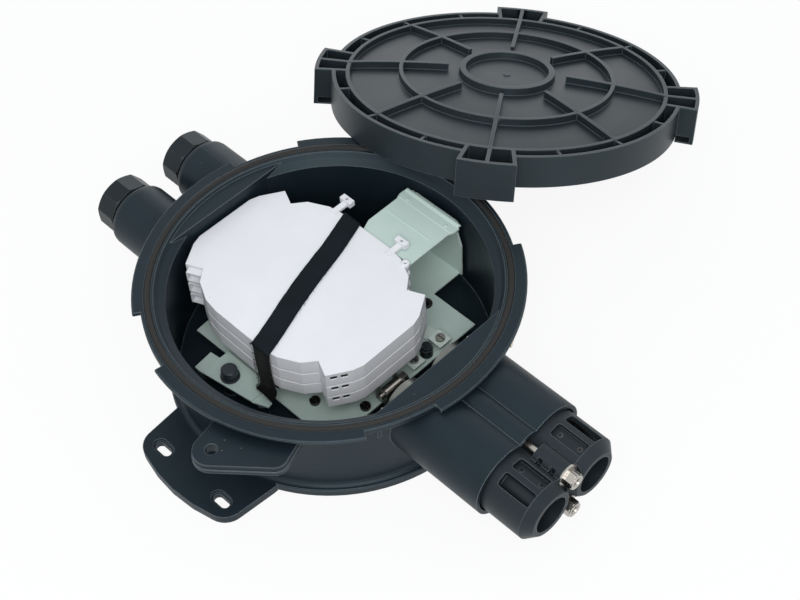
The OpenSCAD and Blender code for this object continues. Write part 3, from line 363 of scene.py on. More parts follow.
@dataclass(frozen=True)
class Finish:
    """A surface finish, built as one material.

    The colour varies softly between two shades, is painted paler along edges as a painted highlight, is
    painted darker in a looped pile's hollows as painted shade, and can carry dust, over a fine grain. Radii
    and depths are in metres, and scales are counts of the pattern in a metre.
    """

    name: str
    colour: Colour
    shade: Colour
    # Colour and strength of the painted highlight along rounded edges
    edge_highlight_colour: Colour
    edge_highlight_amount: float = 0.5
    edge_radius: float = 0.0008
    metallic: float = 0.0
    roughness: tuple[float, float] = (0.40, 0.50)
    specular: float = 0.5
    tint: Colour = (1.0, 1.0, 1.0)
    grain_scale: float = 1500.0
    grain_depth: float = 0.00002
    cloud_scale: float = 18.0
    dust: float = 0.0
    dust_scale: float = 260.0
    dust_colour: Colour = (0.25, 0.27, 0.29)
    sheen: float = 0.0
    pile: float = 0.0

    def build(self) -> bpy.types.Material:
        """Builds the finish's material on its first use, and finds it after that.

        Returns:
            The material.
        """
        found = bpy.data.materials.get(self.name)
        if found is not None:
            return found
        made = bpy.data.materials.new(self.name)
        made.use_nodes = True
        made.diffuse_color = (*self.colour, 1.0)
        sketch = Sketch(made.node_tree)
        shader = made.node_tree.nodes["Principled BSDF"]
        shader.inputs["Metallic"].default_value = self.metallic
        shader.inputs["Specular IOR Level"].default_value = self.specular
        shader.inputs["Specular Tint"].default_value = (*self.tint, 1.0)
        shader.inputs["Sheen Weight"].default_value = self.sheen
        clouds = EFFECTS.place(sketch, Surface.CLOUDS, Scale=self.cloud_scale)
        colour = sketch.blend(clouds.outputs["Value"], self.colour, self.shade)
        # Painted highlight: the colour is lightened along rounded edges
        edges = EFFECTS.place(sketch, Surface.EDGES, Radius=self.edge_radius)
        edge_highlight_mask = sketch.math("MULTIPLY", edges.outputs["Mask"], self.edge_highlight_amount)
        colour = sketch.blend(edge_highlight_mask, colour, self.edge_highlight_colour)
        if self.dust > 0:
            dust = EFFECTS.place(sketch, Surface.DUST, Scale=self.dust_scale, Share=self.dust)
            colour = sketch.blend(dust.outputs["Mask"], colour, self.dust_colour)
        grain = EFFECTS.place(sketch, Surface.GRAIN, Scale=self.grain_scale)
        height = grain.outputs["Height"]
        depth = self.grain_depth
        if self.pile > 0:
            loops = EFFECTS.place(sketch, Surface.PILE, Scale=self.grain_scale)
            height = loops.outputs["Height"]
            depth = self.pile
            # Painted shade: the colour darkens to the second shade where the pile is low, between the loops
            colour = sketch.blend(loops.outputs["Value"], self.shade, colour)
        sketch.join(colour, shader.inputs["Base Color"])
        rough = sketch.ramp(clouds.outputs["Value"], 0.0, 1.0, *self.roughness)
        sketch.join(rough, shader.inputs["Roughness"])
        bump = sketch.node("ShaderNodeBump")
        bump.inputs["Strength"].default_value = 1.0
        bump.inputs["Distance"].default_value = depth
        sketch.join(height, bump.inputs["Height"])
        sketch.join(edges.outputs["Normal"], bump.inputs["Normal"])
        sketch.join(bump.outputs[0], shader.inputs["Normal"])
        return made

    def on(self, *pieces: bpy.types.Object) -> None:
        """Gives the finish to pieces.

        Args:
            pieces: The objects that get it.
        """
        for piece in pieces:
            piece.data.materials.clear()
            piece.data.materials.append(self.build())


# The third colour of each finish is its painted highlight along edges
TUB_PLASTIC = Finish(
    "tub_charcoal_plastic", (0.005, 0.011, 0.015), (0.009, 0.015, 0.021), (0.20, 0.24, 0.26),
    edge_highlight_amount=0.8, edge_radius=0.0011, roughness=(0.38, 0.52), specular=0.30, tint=(0.70, 0.90, 1.0),
    grain_scale=900.0, grain_depth=0.00003, dust=0.03, dust_colour=(0.16, 0.19, 0.20))
LID_PLASTIC = Finish(
    "lid_charcoal_plastic", (0.010, 0.015, 0.018), (0.019, 0.025, 0.029), (0.18, 0.22, 0.24),
    edge_highlight_amount=0.7, edge_radius=0.0010, roughness=(0.34, 0.48), specular=0.33, tint=(0.75, 0.92, 1.0),
    cloud_scale=9.0, grain_scale=900.0, grain_depth=0.00003, dust=0.02, dust_colour=(0.18, 0.21, 0.22))
COLLAR_PLASTIC = Finish(
    "collar_black_plastic", (0.008, 0.012, 0.015), (0.014, 0.018, 0.022), (0.22, 0.26, 0.28),
    edge_highlight_amount=0.6, edge_radius=0.0009, roughness=(0.40, 0.52), specular=0.32, tint=(0.78, 0.92, 1.0),
    grain_scale=1100.0)
GLAND_PLASTIC = Finish(
    "gland_black_plastic", (0.004, 0.007, 0.009), (0.008, 0.011, 0.013), (0.14, 0.16, 0.18),
    edge_highlight_amount=0.6, edge_radius=0.0008, roughness=(0.34, 0.46), specular=0.30, tint=(0.75, 0.92, 1.0),
    grain_scale=1300.0)
SEAL_RUBBER = Finish(
    "seal_black_rubber", (0.010, 0.010, 0.010), (0.016, 0.016, 0.016), (0.03, 0.03, 0.03), edge_highlight_amount=0.3,
    roughness=(0.60, 0.75), specular=0.35, grain_scale=2000.0)
TRAY_PLASTIC = Finish(
    "tray_white_plastic", (0.77, 0.78, 0.81), (0.72, 0.73, 0.76), (0.90, 0.90, 0.92), edge_highlight_amount=0.7,
    edge_radius=0.0006, roughness=(0.42, 0.55), cloud_scale=14.0, grain_scale=700.0, grain_depth=0.00004,
    dust=0.012, dust_scale=170.0, dust_colour=(0.45, 0.46, 0.48))
SAGE_PAINT = Finish(
    "sage_painted_sheet", (0.54, 0.655, 0.61), (0.48, 0.595, 0.55), (0.74, 0.84, 0.79), edge_highlight_amount=0.7,
    edge_radius=0.0005, roughness=(0.42, 0.55), specular=0.35, cloud_scale=16.0, grain_scale=1600.0,
    dust=0.02, dust_scale=220.0, dust_colour=(0.22, 0.27, 0.25))
MINT_PAINT = Finish(
    "pale_mint_sheet", (0.64, 0.73, 0.69), (0.58, 0.67, 0.63), (0.80, 0.86, 0.82), edge_highlight_amount=0.7,
    edge_radius=0.0005, roughness=(0.35, 0.48), specular=0.4, cloud_scale=30.0, grain_scale=1600.0)
BRIGHT_NICKEL = Finish(
    "bright_nickel", (0.50, 0.48, 0.45), (0.38, 0.36, 0.33), (0.85, 0.83, 0.80), edge_highlight_amount=0.5,
    edge_radius=0.0003, metallic=1.0, roughness=(0.20, 0.32), grain_scale=2500.0, grain_depth=0.00001)
DULL_STEEL = Finish(
    "dull_zinc_steel", (0.33, 0.33, 0.31), (0.24, 0.24, 0.22), (0.62, 0.62, 0.58), edge_highlight_amount=0.5,
    edge_radius=0.0003, metallic=1.0, roughness=(0.32, 0.46), grain_scale=2200.0, grain_depth=0.00002)
CLAMP_STEEL = Finish(
    "clamp_band_steel", (0.20, 0.21, 0.20), (0.14, 0.15, 0.14), (0.50, 0.51, 0.48), edge_highlight_amount=0.5,
    edge_radius=0.0003, metallic=1.0, roughness=(0.30, 0.44), grain_scale=2200.0, grain_depth=0.00002)
VALVE_BRASS = Finish(
    "valve_pale_brass", (0.60, 0.50, 0.33), (0.48, 0.40, 0.26), (0.85, 0.75, 0.55), edge_highlight_amount=0.5,
    edge_radius=0.0003, metallic=1.0, roughness=(0.20, 0.34), grain_scale=2200.0)
KNOB_PLASTIC = Finish(
    "knob_blue_black_plastic", (0.020, 0.028, 0.037), (0.026, 0.034, 0.044), (0.10, 0.12, 0.14),
    edge_highlight_amount=0.5, edge_radius=0.0006, roughness=(0.40, 0.50), grain_scale=1500.0)
BLACK_OXIDE = Finish(
    "black_oxide_screw", (0.015, 0.014, 0.013), (0.030, 0.028, 0.026), (0.60, 0.58, 0.54), edge_highlight_amount=0.5,
    edge_radius=0.0004, metallic=0.8, roughness=(0.18, 0.30), grain_scale=2200.0)
TAPE = Finish(
    "strap_smooth_tape", (0.005, 0.008, 0.011), (0.008, 0.012, 0.016), (0.03, 0.04, 0.05), edge_highlight_amount=0.3,
    roughness=(0.62, 0.75), specular=0.08, cloud_scale=60.0, grain_scale=2600.0, grain_depth=0.00006)
# The second shade is the painted shade in the pile's hollows
LOOP_BAND = Finish(
    "strap_loop_pile", (0.014, 0.015, 0.017), (0.0015, 0.0018, 0.002), (0.02, 0.02, 0.02), edge_highlight_amount=0.1,
    roughness=(0.85, 0.95), specular=0.10, grain_scale=1100.0, pile=0.0009, sheen=0.06)
FIBRE = Finish(
    "strap_loose_fibre", (0.010, 0.011, 0.012), (0.016, 0.017, 0.018), (0.02, 0.02, 0.02), edge_highlight_amount=0.0,
    roughness=(0.7, 0.8), specular=0.25)
MARK_GREY = Finish(
    "mould_mark_plastic", (0.026, 0.031, 0.036), (0.032, 0.037, 0.042), (0.08, 0.09, 0.10), edge_highlight_amount=0.5,
    edge_radius=0.0003, roughness=(0.45, 0.55))
# Painted shadow: dark finish of the cups that stand for the shade inside the tray windows
WINDOW_PAINTED_SHADOW = Finish(
    "tray_window_shadow", (0.012, 0.014, 0.016), (0.03, 0.03, 0.035), (0.05, 0.05, 0.06), edge_highlight_amount=0.0,
    roughness=(0.6, 0.7), specular=0.2)

NODE_FINISHES: dict[Finish, tuple[str, ...]] = {
    TUB_PLASTIC: ("tub_shell",),
    LID_PLASTIC: ("lid_shell",),
    COLLAR_PLASTIC: ("pressure_collar",),
    GLAND_PLASTIC: ("gland_body_1", "gland_body_2", "gland_nut_1", "gland_nut_2", "earth_terminal"),
    SEAL_RUBBER: ("rim_gasket", "port_seal", "gland_seal_1", "gland_seal_2"),
    TRAY_PLASTIC: ("splice_tray_1", "splice_tray_2", "splice_tray_3", "tray_cover"),
    SAGE_PAINT: ("base_frame", "tray_arm", "arm_rivets", "knob_bracket"),
    MINT_PAINT: ("strength_clamps",),
    BRIGHT_NICKEL: ("pressure_plate", "compression_bolts", "bolt_washers", "compression_nut_upper",
                    "compression_nut_lower", "anchor_bolt"),
    CLAMP_STEEL: ("hose_clamp_1", "hose_clamp_2"),
    DULL_STEEL: ("hinge_pin", "clamp_screws", "cable_anchor", "cable_saddles", "worm_screw_1",
                 "worm_screw_2"),
    BLACK_OXIDE: ("frame_screws",),
    VALVE_BRASS: ("pressure_valve", "valve_cap"),
    KNOB_PLASTIC: ("knob",),
}


def piece(name: str, points: Sequence[Vector], faces: Iterable[Sequence[int]], finish: Finish, body: Body,
          smooth: bool = True) -> bpy.types.Object:
    """Makes a dressed mesh piece that rides on a body.

    Args:
        name: Name of the piece.
        points: Its points in metres.
        faces: Its faces as rows of point numbers.
        finish: Its surface finish.
        body: The body that it rides on.
        smooth: Whether its faces shade smoothly.

    Returns:
        The new object.
    """
    mesh = bpy.data.meshes.new(name)
    mesh.from_pydata([tuple(p) for p in points], [], [tuple(f) for f in faces])
    mesh.validate()
    mesh.update()
    if smooth:
        mesh.polygons.foreach_set("use_smooth", [True] * len(mesh.polygons))
    made = bpy.data.objects.new(name, mesh)
    bpy.context.scene.collection.objects.link(made)
    finish.on(made)
    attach(made, body.value)
    LOG.info("piece %s: %d faces on %s", name, len(mesh.polygons), body.value)
    return made


@dataclass
class Solid:
    """Growing mesh of several closed forms."""

    points: list[Vector] = field(default_factory=list)
    faces: list[tuple[int, ...]] = field(default_factory=list)

    def loft(self, rings: Sequence[Sequence[Vector]], closed: bool = False) -> None:
        """Adds a skin through rings of equally many points.

        Args:
            rings: Rings of points, in order.
            closed: Whether the last ring joins the first; otherwise both ends get caps.
        """
        base, count, turns = len(self.points), len(rings[0]), len(rings)
        for ring in rings:
            self.points.extend(ring)
        for k in range(turns if closed else turns - 1):
            for i in range(count):
                a, b = base + k * count + i, base + k * count + (i + 1) % count
                c, d = base + (k + 1) % turns * count + (i + 1) % count, base + (k + 1) % turns * count + i
                self.faces.append((a, b, c, d))
        if not closed:
            self.faces.append(tuple(base + i for i in reversed(range(count))))
            self.faces.append(tuple(base + (turns - 1) * count + i for i in range(count)))

    def lathe(self, centre: Vector, axis: Vector, profile: Profile, sides: int) -> None:
        """Adds a turned form.

        Args:
            centre: Origin of the profile, in metres.
            axis: Direction of the turning axis.
            profile: Pairs of radius and height along the axis, in millimetres.
            sides: Number of sides.
        """
        along = axis.normalized()
        across = along.orthogonal().normalized()
        third = along.cross(across)
        rings = []
        for k in range(sides):
            turn = 2 * math.pi * k / sides
            out = math.cos(turn) * across + math.sin(turn) * third
            rings.append([centre + out * (r * MM) + along * (h * MM) for r, h in profile])
        self.loft(rings, closed=True)

    def fibre(self, path: Sequence[Vector], radius: float) -> None:
        """Adds a thin thread with three sides and a thin end.

        Args:
            path: Points along the thread, in metres.
            radius: Its radius in metres.
        """
        rings = []
        for k, point in enumerate(path):
            ahead = path[min(k + 1, len(path) - 1)] - path[max(k - 1, 0)]
            across = ahead.orthogonal().normalized()
            third = ahead.normalized().cross(across)
            taper = 1.0 if k < len(path) - 1 else FIBRE_END
            rings.append([point + (math.cos(t) * across + math.sin(t) * third) * radius * taper
                          for t in FIBRE_TURNS])
        self.loft(rings)

    def make(self, name: str, finish: Finish, body: Body, smooth: bool = True) -> bpy.types.Object:
        """Returns the form as a dressed piece."""
        return piece(name, self.points, self.faces, finish, body, smooth)


# Round a strip's section: shares of its half width, and shares of its thickness above its inner face
STRIP_SECTION: Profile = (
    (-1.0, 0.0), (-1.0, 0.6), (-0.96, 0.95), (-0.5, 1.04), (0.0, 1.06), (0.5, 1.04), (0.96, 0.95),
    (1.0, 0.6), (1.0, 0.0), (0.5, 0.0), (0.0, 0.0), (-0.5, 0.0))


@dataclass
class Strap:
    """Hook-and-loop strap round the trays: smooth tape over the top, looped band down the front.

    Sizes are in millimetres, and the turns of the wave and the ripple in radians a step. The strap's
    reach is that of the plain solid whose place it takes.
    """

    width: float = 17.5
    tape: float = 1.4
    band: float = 2.0
    front_x: float = 3.0
    back_x: float = -38.0
    tuck: float = 4.0
    under_steps: int = 11
    top_steps: int = 40
    wave: float = 0.7
    wave_turn: float = 0.21
    ripple: float = 0.1
    ripple_turn: float = 0.5
    band_steps: int = 24
    band_inset: float = 0.5
    waist: float = 0.8
    bulge: float = 0.9
    lean: float = 2.2
    curl_steps: int = 6
    curl: tuple[float, float] = (1.6, -4.6)
    band_loops: int = 620
    curl_loops: int = 260
    side_hairs: int = 150
    hair_radius: float = 0.045
    seed: int = 7
    front_y: float = field(init=False)
    back_y: float = field(init=False)
    low_z: float = field(init=False)
    high_z: float = field(init=False)

    def __post_init__(self) -> None:
        """Takes the strap's reach from the plain solid."""
        low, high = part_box("tray_strap")
        self.front_y, self.back_y = low.y / MM, high.y / MM
        self.low_z, self.high_z = low.z / MM, high.z / MM

    def build(self) -> None:
        """Makes the tape, the looped band and their loose fibres, in place of the plain solid."""
        for made in (self._tape(), self._band(), self._fringe()):
            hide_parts("tray_strap")

    def _x_at(self, y: float) -> float:
        """Returns the x of the strap's middle line where it crosses y."""
        slope = (self.front_x - self.back_x) / (self.front_y - self.back_y)
        return self.back_x + (y - self.back_y) * slope

    @staticmethod
    def _strip(middles: Sequence[Vector], ups: Sequence[Vector], halves: Sequence[float],
               thick: float) -> Solid:
        """Makes a flat strip with rounded sides.

        Args:
            middles: Points along the middle of its face, in millimetres.
            ups: Directions that its outer face looks to.
            halves: Half widths along x, in millimetres.
            thick: Thickness in millimetres.

        Returns:
            The strip's solid.
        """
        solid = Solid()
        across = Vector((1, 0, 0))
        rings = []
        for middle, up, half in zip(middles, ups, halves):
            rings.append([(middle + across * (s * half) + up.normalized() * (thick * (h - 1.0))) * MM
                          for s, h in STRIP_SECTION])
        solid.loft(rings)
        return solid

    def _tape(self) -> bpy.types.Object:
        """Makes the smooth tape over the cover, round the back and below the arm's shelf.

        Returns:
            The tape's piece.
        """
        rng = random.Random(self.seed)
        middles, ups, halves = [], [], []

        def add(x: float, y: float, z: float, up: Place, half: float = self.width / 2) -> None:
            """Adds one place along the tape.

            Args:
                x: Middle of the tape, in millimetres.
                y: Place along the trays' depth.
                z: Height of the outer face.
                up: Direction that the outer face looks to.
                half: Half the tape's width there.
            """
            middles.append(Vector((x, y, z)))
            ups.append(Vector(up))
            halves.append(half)

        front, back, low, high = self.front_y, self.back_y, self.low_z, self.high_z
        # Below the shelf, from behind the band to the back
        add(self._x_at(front) + 1.0, front + self.tuck, low + 0.1, (0, 0, -1))
        for k in range(1, self.under_steps + 1):
            y = front + self.tuck + (back - front - self.tuck - 2) * k / self.under_steps
            add(self._x_at(y), y, low, (0, 0, -1))
        # Up the back, with a small round corner below and above
        add(self.back_x, back - 0.5, low + 0.7, (0, 1, -1))
        for z in (low + 2.0, (low + high) / 2, high - 2.4):
            add(self.back_x, back, z, (0, 1, 0))
        add(self.back_x, back - 0.6, high - 0.7, (0, 1, 1))
        # Over the cover, as a hand left it
        for k in range(self.top_steps + 1):
            y = back - 2 + (front + 1.2 - back) * k / self.top_steps
            sway = self.wave * math.sin(k * self.wave_turn) + rng.uniform(-0.08, 0.08)
            z = high - 0.12 + self.ripple * math.sin(k * self.ripple_turn)
            add(self._x_at(y) + sway, y, z, (0, 0, 1), self.width / 2 + rng.uniform(-0.12, 0.10))
        solid = self._strip(middles, ups, halves, self.tape)
        return solid.make("strap_tape", TAPE, Body.TRAYS)

    def _band_path(self) -> list[tuple[Vector, Vector, float]]:
        """Lays out the looped band, down the front and out over its curled foot.

        Returns:
            Places in millimetres, outward directions and half widths.
        """
        path = []
        top = self.high_z - 0.9
        wide = self.width / 2 - self.band_inset
        for k in range(self.band_steps + 1):
            s = k / self.band_steps
            arch = math.sin(s * math.pi)
            place = Vector((self.front_x + 0.5 + self.lean * s * s,
                            self.front_y - (0.5 + 0.5 * arch) * self.bulge,
                            top - s * (top - self.low_z + 1.0)))
            path.append((place, Vector((0, -1, 0.1)), wide - self.waist * arch))
        foot = path[-1][0]
        for k in range(1, self.curl_steps + 1):
            s = k / self.curl_steps
            place = foot + Vector((self.curl[0] * s, self.curl[1] * s, -math.sin(s * 2.2)))
            path.append((place, Vector((0, -1 + s, 1.2 * s)), wide + self.waist * s))
        return path

    def _band(self) -> bpy.types.Object:
        """Makes the looped band that hangs down the front and curls out.

        Returns:
            The band's piece.
        """
        rng = random.Random(self.seed + 1)
        places, outs, halves = zip(*self._band_path())
        solid = self._strip(places, outs, [half + rng.uniform(-0.35, 0.35) for half in halves], self.band)
        return solid.make("strap_loop_band", LOOP_BAND, Body.TRAYS)

    def _fringe(self) -> bpy.types.Object:
        """Makes the loose loops and hairs along the band's edges, its foot and the tape's right side.

        Returns:
            The fringe's piece.
        """
        rng = random.Random(self.seed + 2)
        solid = Solid()
        path = self._band_path()
        # Loops along the band, closer together towards its foot
        for _ in range(self.band_loops):
            back_steps = min(int(abs(rng.gauss(0, 0.55)) * len(path)), len(path) - 1)
            place, out, half = path[-back_steps - 1]
            side = rng.choice((-1, 1)) if rng.random() < 0.45 else rng.uniform(-1, 1)
            start = place + Vector((side * half, 0, rng.uniform(-1.0, 1.0)))
            throw = out.normalized() * rng.uniform(0.4, 1.6) + Vector((side * rng.uniform(0, 1.1), 0, 0))
            droop = Vector((rng.uniform(-0.5, 0.5), 0, -rng.uniform(0.2, 1.6)))
            solid.fibre([start * MM, (start + throw * 0.6) * MM, (start + throw + droop * 0.5) * MM,
                         (start + throw * 1.1 + droop) * MM], rng.uniform(0.05, 0.10) * MM)
        # A tangle of loops under the curled foot
        foot, _, half = path[-1]
        for _ in range(self.curl_loops):
            start = foot + Vector((rng.uniform(-1, 1) * half, rng.uniform(0, 2.0), 0))
            throw = Vector((rng.uniform(-0.6, 1.2), -rng.uniform(0.5, 2.6), rng.uniform(-1.6, 1.0)))
            end = start + throw + Vector((0.2, 0, -0.5))
            solid.fibre([start * MM, (start + throw * 0.5) * MM, end * MM], rng.uniform(0.06, 0.11) * MM)
        # Fine hairs along the tape's right side
        for _ in range(self.side_hairs):
            y = rng.uniform(self.front_y + 6, self.back_y - 12)
            x = self._x_at(y) + self.width / 2 - 0.3
            reach = rng.uniform(0.5, 1.8)
            start = Vector((x, y, self.high_z - 0.7))
            solid.fibre([start * MM, (start + Vector((reach * 0.6, -0.3, 0.1))) * MM,
                         (start + Vector((reach, -rng.uniform(0.0, 1.6), -0.5))) * MM],
                        self.hair_radius * MM)
        return solid.make("strap_fringe", FIBRE, Body.TRAYS)


# Rings of the dark cup behind a tray's window, a painted shadow in it: depth behind the wall's face, half
# width, half height
WINDOW_CUP = ((0.9, 2.42, 1.66), (1.1, 2.46, 1.70), (1.7, 2.9, 1.95), (2.3, 2.7, 1.8))

# Turned forms as pairs of radius and height in millimetres
EAR_PROFILE: Profile = ((1.0, 0.0), (3.0, 0.0), (3.3, 0.4), (3.3, 4.0), (2.9, 4.6), (1.5, 4.7), (1.0, 4.2))
GROMMET_PROFILE: Profile = (
    (2.2, -2.2), (5.0, -2.2), (5.2, -1.6), (3.98, -1.5), (3.98, 0.02), (5.2, 0.1), (5.3, 0.8),
    (4.6, 1.4), (3.0, 1.3), (2.3, 0.6))
MARK_PROFILE: Profile = ((0.0, -0.4), (2.3, -0.4), (2.3, 0.12), (2.1, 0.2), (0.0, 0.2))
DOT_PROFILE: Profile = ((0.0, -0.2), (0.55, -0.2), (0.5, 0.15), (0.0, 0.25))

# Sections of the arm's hem and of its pressed line: place across it and height over the arm's face
HEM_SECTION: Profile = (
    (-9.6, -0.1), (-9.5, 0.3), (-9.0, 0.45), (-2.0, 0.45), (-1.3, 1.2), (0.0, 1.7), (1.3, 1.3),
    (1.8, 0.2), (1.5, -0.6))
LINE_SECTION: Profile = ((-0.9, -0.5), (-0.5, 1.0), (0.5, 1.0), (0.9, -0.5))


@dataclass(frozen=True)
class TrayFittings:
    """Small forms on the tray stack that the plain solids leave out, in millimetres."""

    stack_at: tuple[float, float] = (-21.5, -6.0)
    stack_z: float = 37.2
    pitch: float = 12.25
    trays: int = 3
    corner: tuple[float, float] = (74.98, -49.98)
    shoulder: tuple[float, float] = (85.54, -33.02)
    window_shares: tuple[float, float] = (0.30, 0.68)
    window_height: float = 0.78
    ear_place: tuple[float, float] = (22.4, 54.8)
    ear_lift: float = 1.0
    arm_top: float = 73.5
    hem_left: float = -31.0
    hem_right: float = 25.0
    hem_y: float = 109.6
    hem_end: float = 0.4
    hem_end_share: float = 0.7
    hem_inset: float = 8.0
    line_y: float = 85.0
    line_insets: tuple[float, float] = (4.0, 8.0)
    line_end: float = 1.0
    line_heights: tuple[float, float] = (0.05, 0.45)

    def build(self) -> None:
        """Makes the dark cups that paint the shadow in the windows, the stacked ears and the arm's hem."""
        self._window_painted_shadows()
        self._ears()
        self._hem()

    def _window_painted_shadows(self) -> None:
        """Makes a dark cup behind each fibre window of the trays, a painted shadow in the window."""
        solid = Solid()
        run = Vector((self.shoulder[0] - self.corner[0], self.shoulder[1] - self.corner[1], 0))
        along, up = run.normalized(), Vector((0, 0, 1))
        inward = up.cross(along)
        for level in range(self.trays):
            start = Vector((self.stack_at[0] + self.corner[0], self.stack_at[1] + self.corner[1],
                            self.stack_z + (level + self.window_height) * self.pitch))
            for share in self.window_shares:
                rings = []
                for depth, half, high in WINDOW_CUP:
                    centre = start + run * share + inward * depth
                    rings.append([(centre + along * (a * half) + up * (b * high)) * MM
                                  for a, b in ((-1, -1), (1, -1), (1, 1), (-1, 1))])
                solid.loft(rings)
        made = solid.make("tray_window_painted_shadows", WINDOW_PAINTED_SHADOW, Body.TRAYS, smooth=False)

    def _ears(self) -> None:
        """Makes the stacked hinge ears beside the cover's second clip."""
        solid = Solid()
        for level in range(self.trays + 1):
            lift = self.ear_lift if level < self.trays else -self.ear_lift
            foot = mm(*self.ear_place, self.stack_z + level * self.pitch + lift)
            solid.lathe(foot, Vector((0, 0, 1)), EAR_PROFILE, sides=28)
        made = solid.make("tray_stack_ears", TRAY_PLASTIC, Body.TRAYS)

    def _hem(self) -> None:
        """Makes the folded hem and the pressed line on the arm's plate."""
        solid = Solid()
        left, right = self.hem_left, self.hem_right
        rings = []
        for x in (left, left + self.hem_end, left + self.hem_inset, right - self.hem_inset,
                  right - self.hem_end, right):
            share = self.hem_end_share if x in (left, right) else 1.0
            rings.append([mm(x, self.hem_y + a, self.arm_top + b * share) for a, b in HEM_SECTION])
        solid.loft(rings)
        left, right = left + self.line_insets[0], right - self.line_insets[1]
        low, high = self.line_heights
        line = []
        for x, rise in ((left, low), (left + self.line_end, high), (right - self.line_end, high),
                        (right, low)):
            line.append([mm(x, self.line_y + a, self.arm_top + b * rise) for a, b in LINE_SECTION])
        solid.loft(line)
        made = solid.make("arm_folded_hem", SAGE_PAINT, Body.TRAYS, smooth=False)


@dataclass(frozen=True)
class ClosureFittings:
    """Small fittings on the tub and the collar that the plain solids leave out, in millimetres."""

    plate_top: float = 14.5
    plate_hole: tuple[float, float] = (23.8, 72.6)
    port_side: float = 22.0
    port_z: float = 55.0
    block_r: float = 20.4
    block_bearing: float = -7.6
    mark_xs: tuple[float, float] = (204.5, 222.0)
    ear_top: float = 80.0
    dot_places: tuple[tuple[float, float], ...] = ((50.5, -148.0), (58.5, -137.5), (45.5, -141.0))

    def build(self) -> None:
        """Makes the grommet, the ejector marks and the mould dots."""
        self._grommet()
        self._ejector_marks()
        self._mould_dots()

    def _grommet(self) -> None:
        """Makes the dark rubber grommet in the base plate's hole."""
        solid = Solid()
        solid.lathe(mm(*self.plate_hole, self.plate_top), Vector((0, 0, 1)), GROMMET_PROFILE, sides=32)
        made = solid.make("plate_grommet", SEAL_RUBBER, Body.TUB)

    def _ejector_marks(self) -> None:
        """Makes the round ejector marks on the blocks behind the collar's inner windows."""
        low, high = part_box("pressure_collar")
        solid = Solid()
        for side in (-1, 1):
            turn = math.radians(self.block_bearing) * side
            out = Vector((0, math.sin(turn), math.cos(turn)))
            for x in self.mark_xs:
                centre = mm(x, side * self.port_side, self.port_z) + out * (self.block_r * MM)
                solid.lathe(centre, out, MARK_PROFILE, sides=24)
        made = solid.make("collar_ejector_marks", MARK_GREY, Body.COLLAR)
        LOG.info("collar spans %.1f mm", (high.x - low.x) / MM)

    def _mould_dots(self) -> None:
        """Makes the tiny bright mould dots on the ear."""
        solid = Solid()
        for place in self.dot_places:
            solid.lathe(mm(*place, self.ear_top), Vector((0, 0, 1)), DOT_PROFILE, sides=12)
        made = solid.make("ear_mould_dots", BRIGHT_NICKEL, Body.TUB)


@dataclass(frozen=True)
class PhotoCamera:
    """Camera that stands where the photographer's stood.

    Angles are in degrees, distances in metres, and the lens and its sensor in millimetres.
    """

    azimuth: float = 47.55
    elevation: float = 50.85
    distance: float = 1.2
    focal: float = 73.69
    sensor: float = 36.0
    aside: float = 0.05007
    above: float = -0.00022
    middle: float = 0.060
    roll: float = -3.43
    nearest: float = 0.05
    farthest: float = 20.0

    def build(self) -> None:
        """Makes the camera and makes it the scene's."""
        az, el, roll = (math.radians(v) for v in (self.azimuth, self.elevation, self.roll))
        back = Vector((math.sin(az) * math.cos(el), -math.cos(az) * math.cos(el), math.sin(el)))
        right = Vector((math.cos(az), math.sin(az), 0.0))
        up = back.cross(right)
        target = Vector((0, 0, self.middle)) + right * self.aside + up * self.above
        turned_right = math.cos(roll) * right + math.sin(roll) * up
        turned_up = -math.sin(roll) * right + math.cos(roll) * up
        data = bpy.data.cameras.new("photo_camera")
        data.lens = self.focal
        data.sensor_width = self.sensor
        data.clip_start, data.clip_end = self.nearest, self.farthest
        made = bpy.data.objects.new("photo_camera", data)
        turn = Matrix((turned_right, turned_up, back)).transposed()
        made.matrix_world = Matrix.Translation(target + back * self.distance) @ turn.to_4x4()
        bpy.context.scene.collection.objects.link(made)
        bpy.context.scene.camera = made


@dataclass(frozen=True)
class Lamp:
    """Square soft lamp that shines at a point, in metres and watts."""

    name: str
    place: Place
    aim: Place
    size: float
    power: float

    def build(self) -> None:
        """Adds the lamp to the scene."""
        data = bpy.data.lights.new(self.name, "AREA")
        data.size = self.size
        data.energy = self.power
        made = bpy.data.objects.new(self.name, data)
        made.location = self.place
        beam = Vector(self.aim) - Vector(self.place)
        made.rotation_euler = beam.to_track_quat("-Z", "Y").to_euler()
        bpy.context.scene.collection.objects.link(made)


LAMPS = (
    Lamp("key_lamp", place=(0.82, -0.76, 1.35), aim=(0.0, 0.0, 0.05), size=1.1, power=17.0),
    Lamp("back_lamp", place=(-0.9, 1.1, 0.5), aim=(0.0, 0.15, 0.05), size=0.9, power=2.5),
)


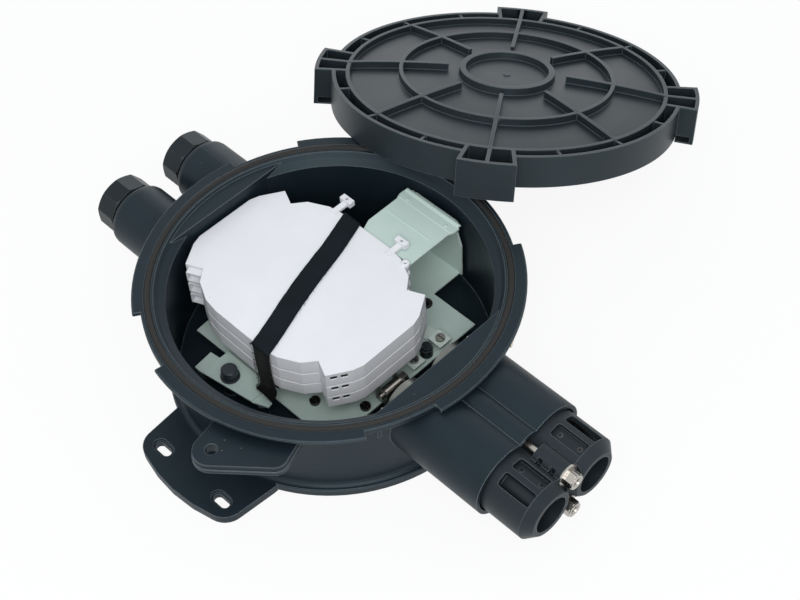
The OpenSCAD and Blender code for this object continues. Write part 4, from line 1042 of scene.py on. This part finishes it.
@dataclass(frozen=True)
class Studio:
    """Plain white table under a soft sky, sizes in metres."""

    floor_size: float = 12.0
    floor_z: float = -0.0004
    table: Colour = (0.86, 0.87, 0.88)
    glow_share: float = 0.9
    sky: Colour = (0.93, 0.97, 1.0)
    sky_strength: float = 0.68
    white: Colour = (1.0, 1.0, 1.0)

    def build(self) -> None:
        """Makes the floor, the world and the lamps."""
        self._floor()
        self._world()
        for lamp in LAMPS:
            lamp.build()
        bpy.context.scene.view_settings.view_transform = "Standard"

    def _floor(self) -> None:
        """Makes a white floor that shows the background and keeps a faint shadow."""
        half, z = self.floor_size / 2, self.floor_z
        mesh = bpy.data.meshes.new("floor")
        mesh.from_pydata([(-half, -half, z), (half, -half, z), (half, half, z), (-half, half, z)],
                         [], [(0, 1, 2, 3)])
        floor = bpy.data.objects.new("floor", mesh)
        bpy.context.scene.collection.objects.link(floor)
        made = bpy.data.materials.new("white_table")
        made.use_nodes = True
        made.node_tree.nodes.clear()
        sketch = Sketch(made.node_tree)
        matt = sketch.node("ShaderNodeBsdfDiffuse")
        matt.inputs["Color"].default_value = (*self.table, 1.0)
        glow = sketch.node("ShaderNodeEmission")
        glow.inputs["Color"].default_value = (*self.white, 1.0)
        share = sketch.math("MULTIPLY", self._seen(sketch), self.glow_share)
        output = sketch.node("ShaderNodeOutputMaterial")
        sketch.join(sketch.shaders(share, matt, glow), output.inputs["Surface"])
        mesh.materials.append(made)

    @staticmethod
    def _seen(sketch: Sketch) -> Any:
        """Tells the background itself, seen or mirrored, from what it lights.

        Args:
            sketch: The node tree that it is for.

        Returns:
            A socket that is 1 where the background is seen or mirrored.
        """
        path = sketch.node("ShaderNodeLightPath")
        some = sketch.math("ADD", path.outputs["Is Camera Ray"], path.outputs["Is Glossy Ray"], clamp=True)
        return sketch.math("ADD", some, path.outputs["Is Transmission Ray"], clamp=True)

    @staticmethod
    def _backdrop(sketch: Sketch, colour: Colour, strength: float) -> bpy.types.Node:
        """Adds a plain background.

        Args:
            sketch: The world's node tree.
            colour: Its colour.
            strength: Its strength.

        Returns:
            The background node.
        """
        made = sketch.node("ShaderNodeBackground")
        made.inputs["Color"].default_value = (*colour, 1.0)
        made.inputs["Strength"].default_value = strength
        return made

    def _world(self) -> None:
        """Makes a soft sky that shows as white."""
        world = bpy.data.worlds.new("soft_sky")
        bpy.context.scene.world = world
        world.use_nodes = True
        world.node_tree.nodes.clear()
        sketch = Sketch(world.node_tree)
        soft = self._backdrop(sketch, self.sky, self.sky_strength)
        plain = self._backdrop(sketch, self.white, 1.0)
        output = sketch.node("ShaderNodeOutputWorld")
        sketch.join(sketch.shaders(self._seen(sketch), soft, plain), output.inputs["Surface"])


def dress_nodes(nodes: dict[str, bpy.types.Object]) -> None:
    """Gives every solid its finish.

    Args:
        nodes: The solids by name.
    """
    for finish, names in NODE_FINISHES.items():
        for name in names:
            if name in nodes:
                finish.on(nodes[name])
    LOG.info("dressed %d solids", len(nodes))


def main() -> None:
    """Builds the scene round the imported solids."""
    logging.basicConfig(level=logging.INFO, format="%(name)s: %(message)s")
    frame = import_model()
    dress_nodes(frame["nodes"])
    Strap().build()
    TrayFittings().build()
    ClosureFittings().build()
    PhotoCamera().build()
    Studio().build()


if __name__ == "__main__":
    main()
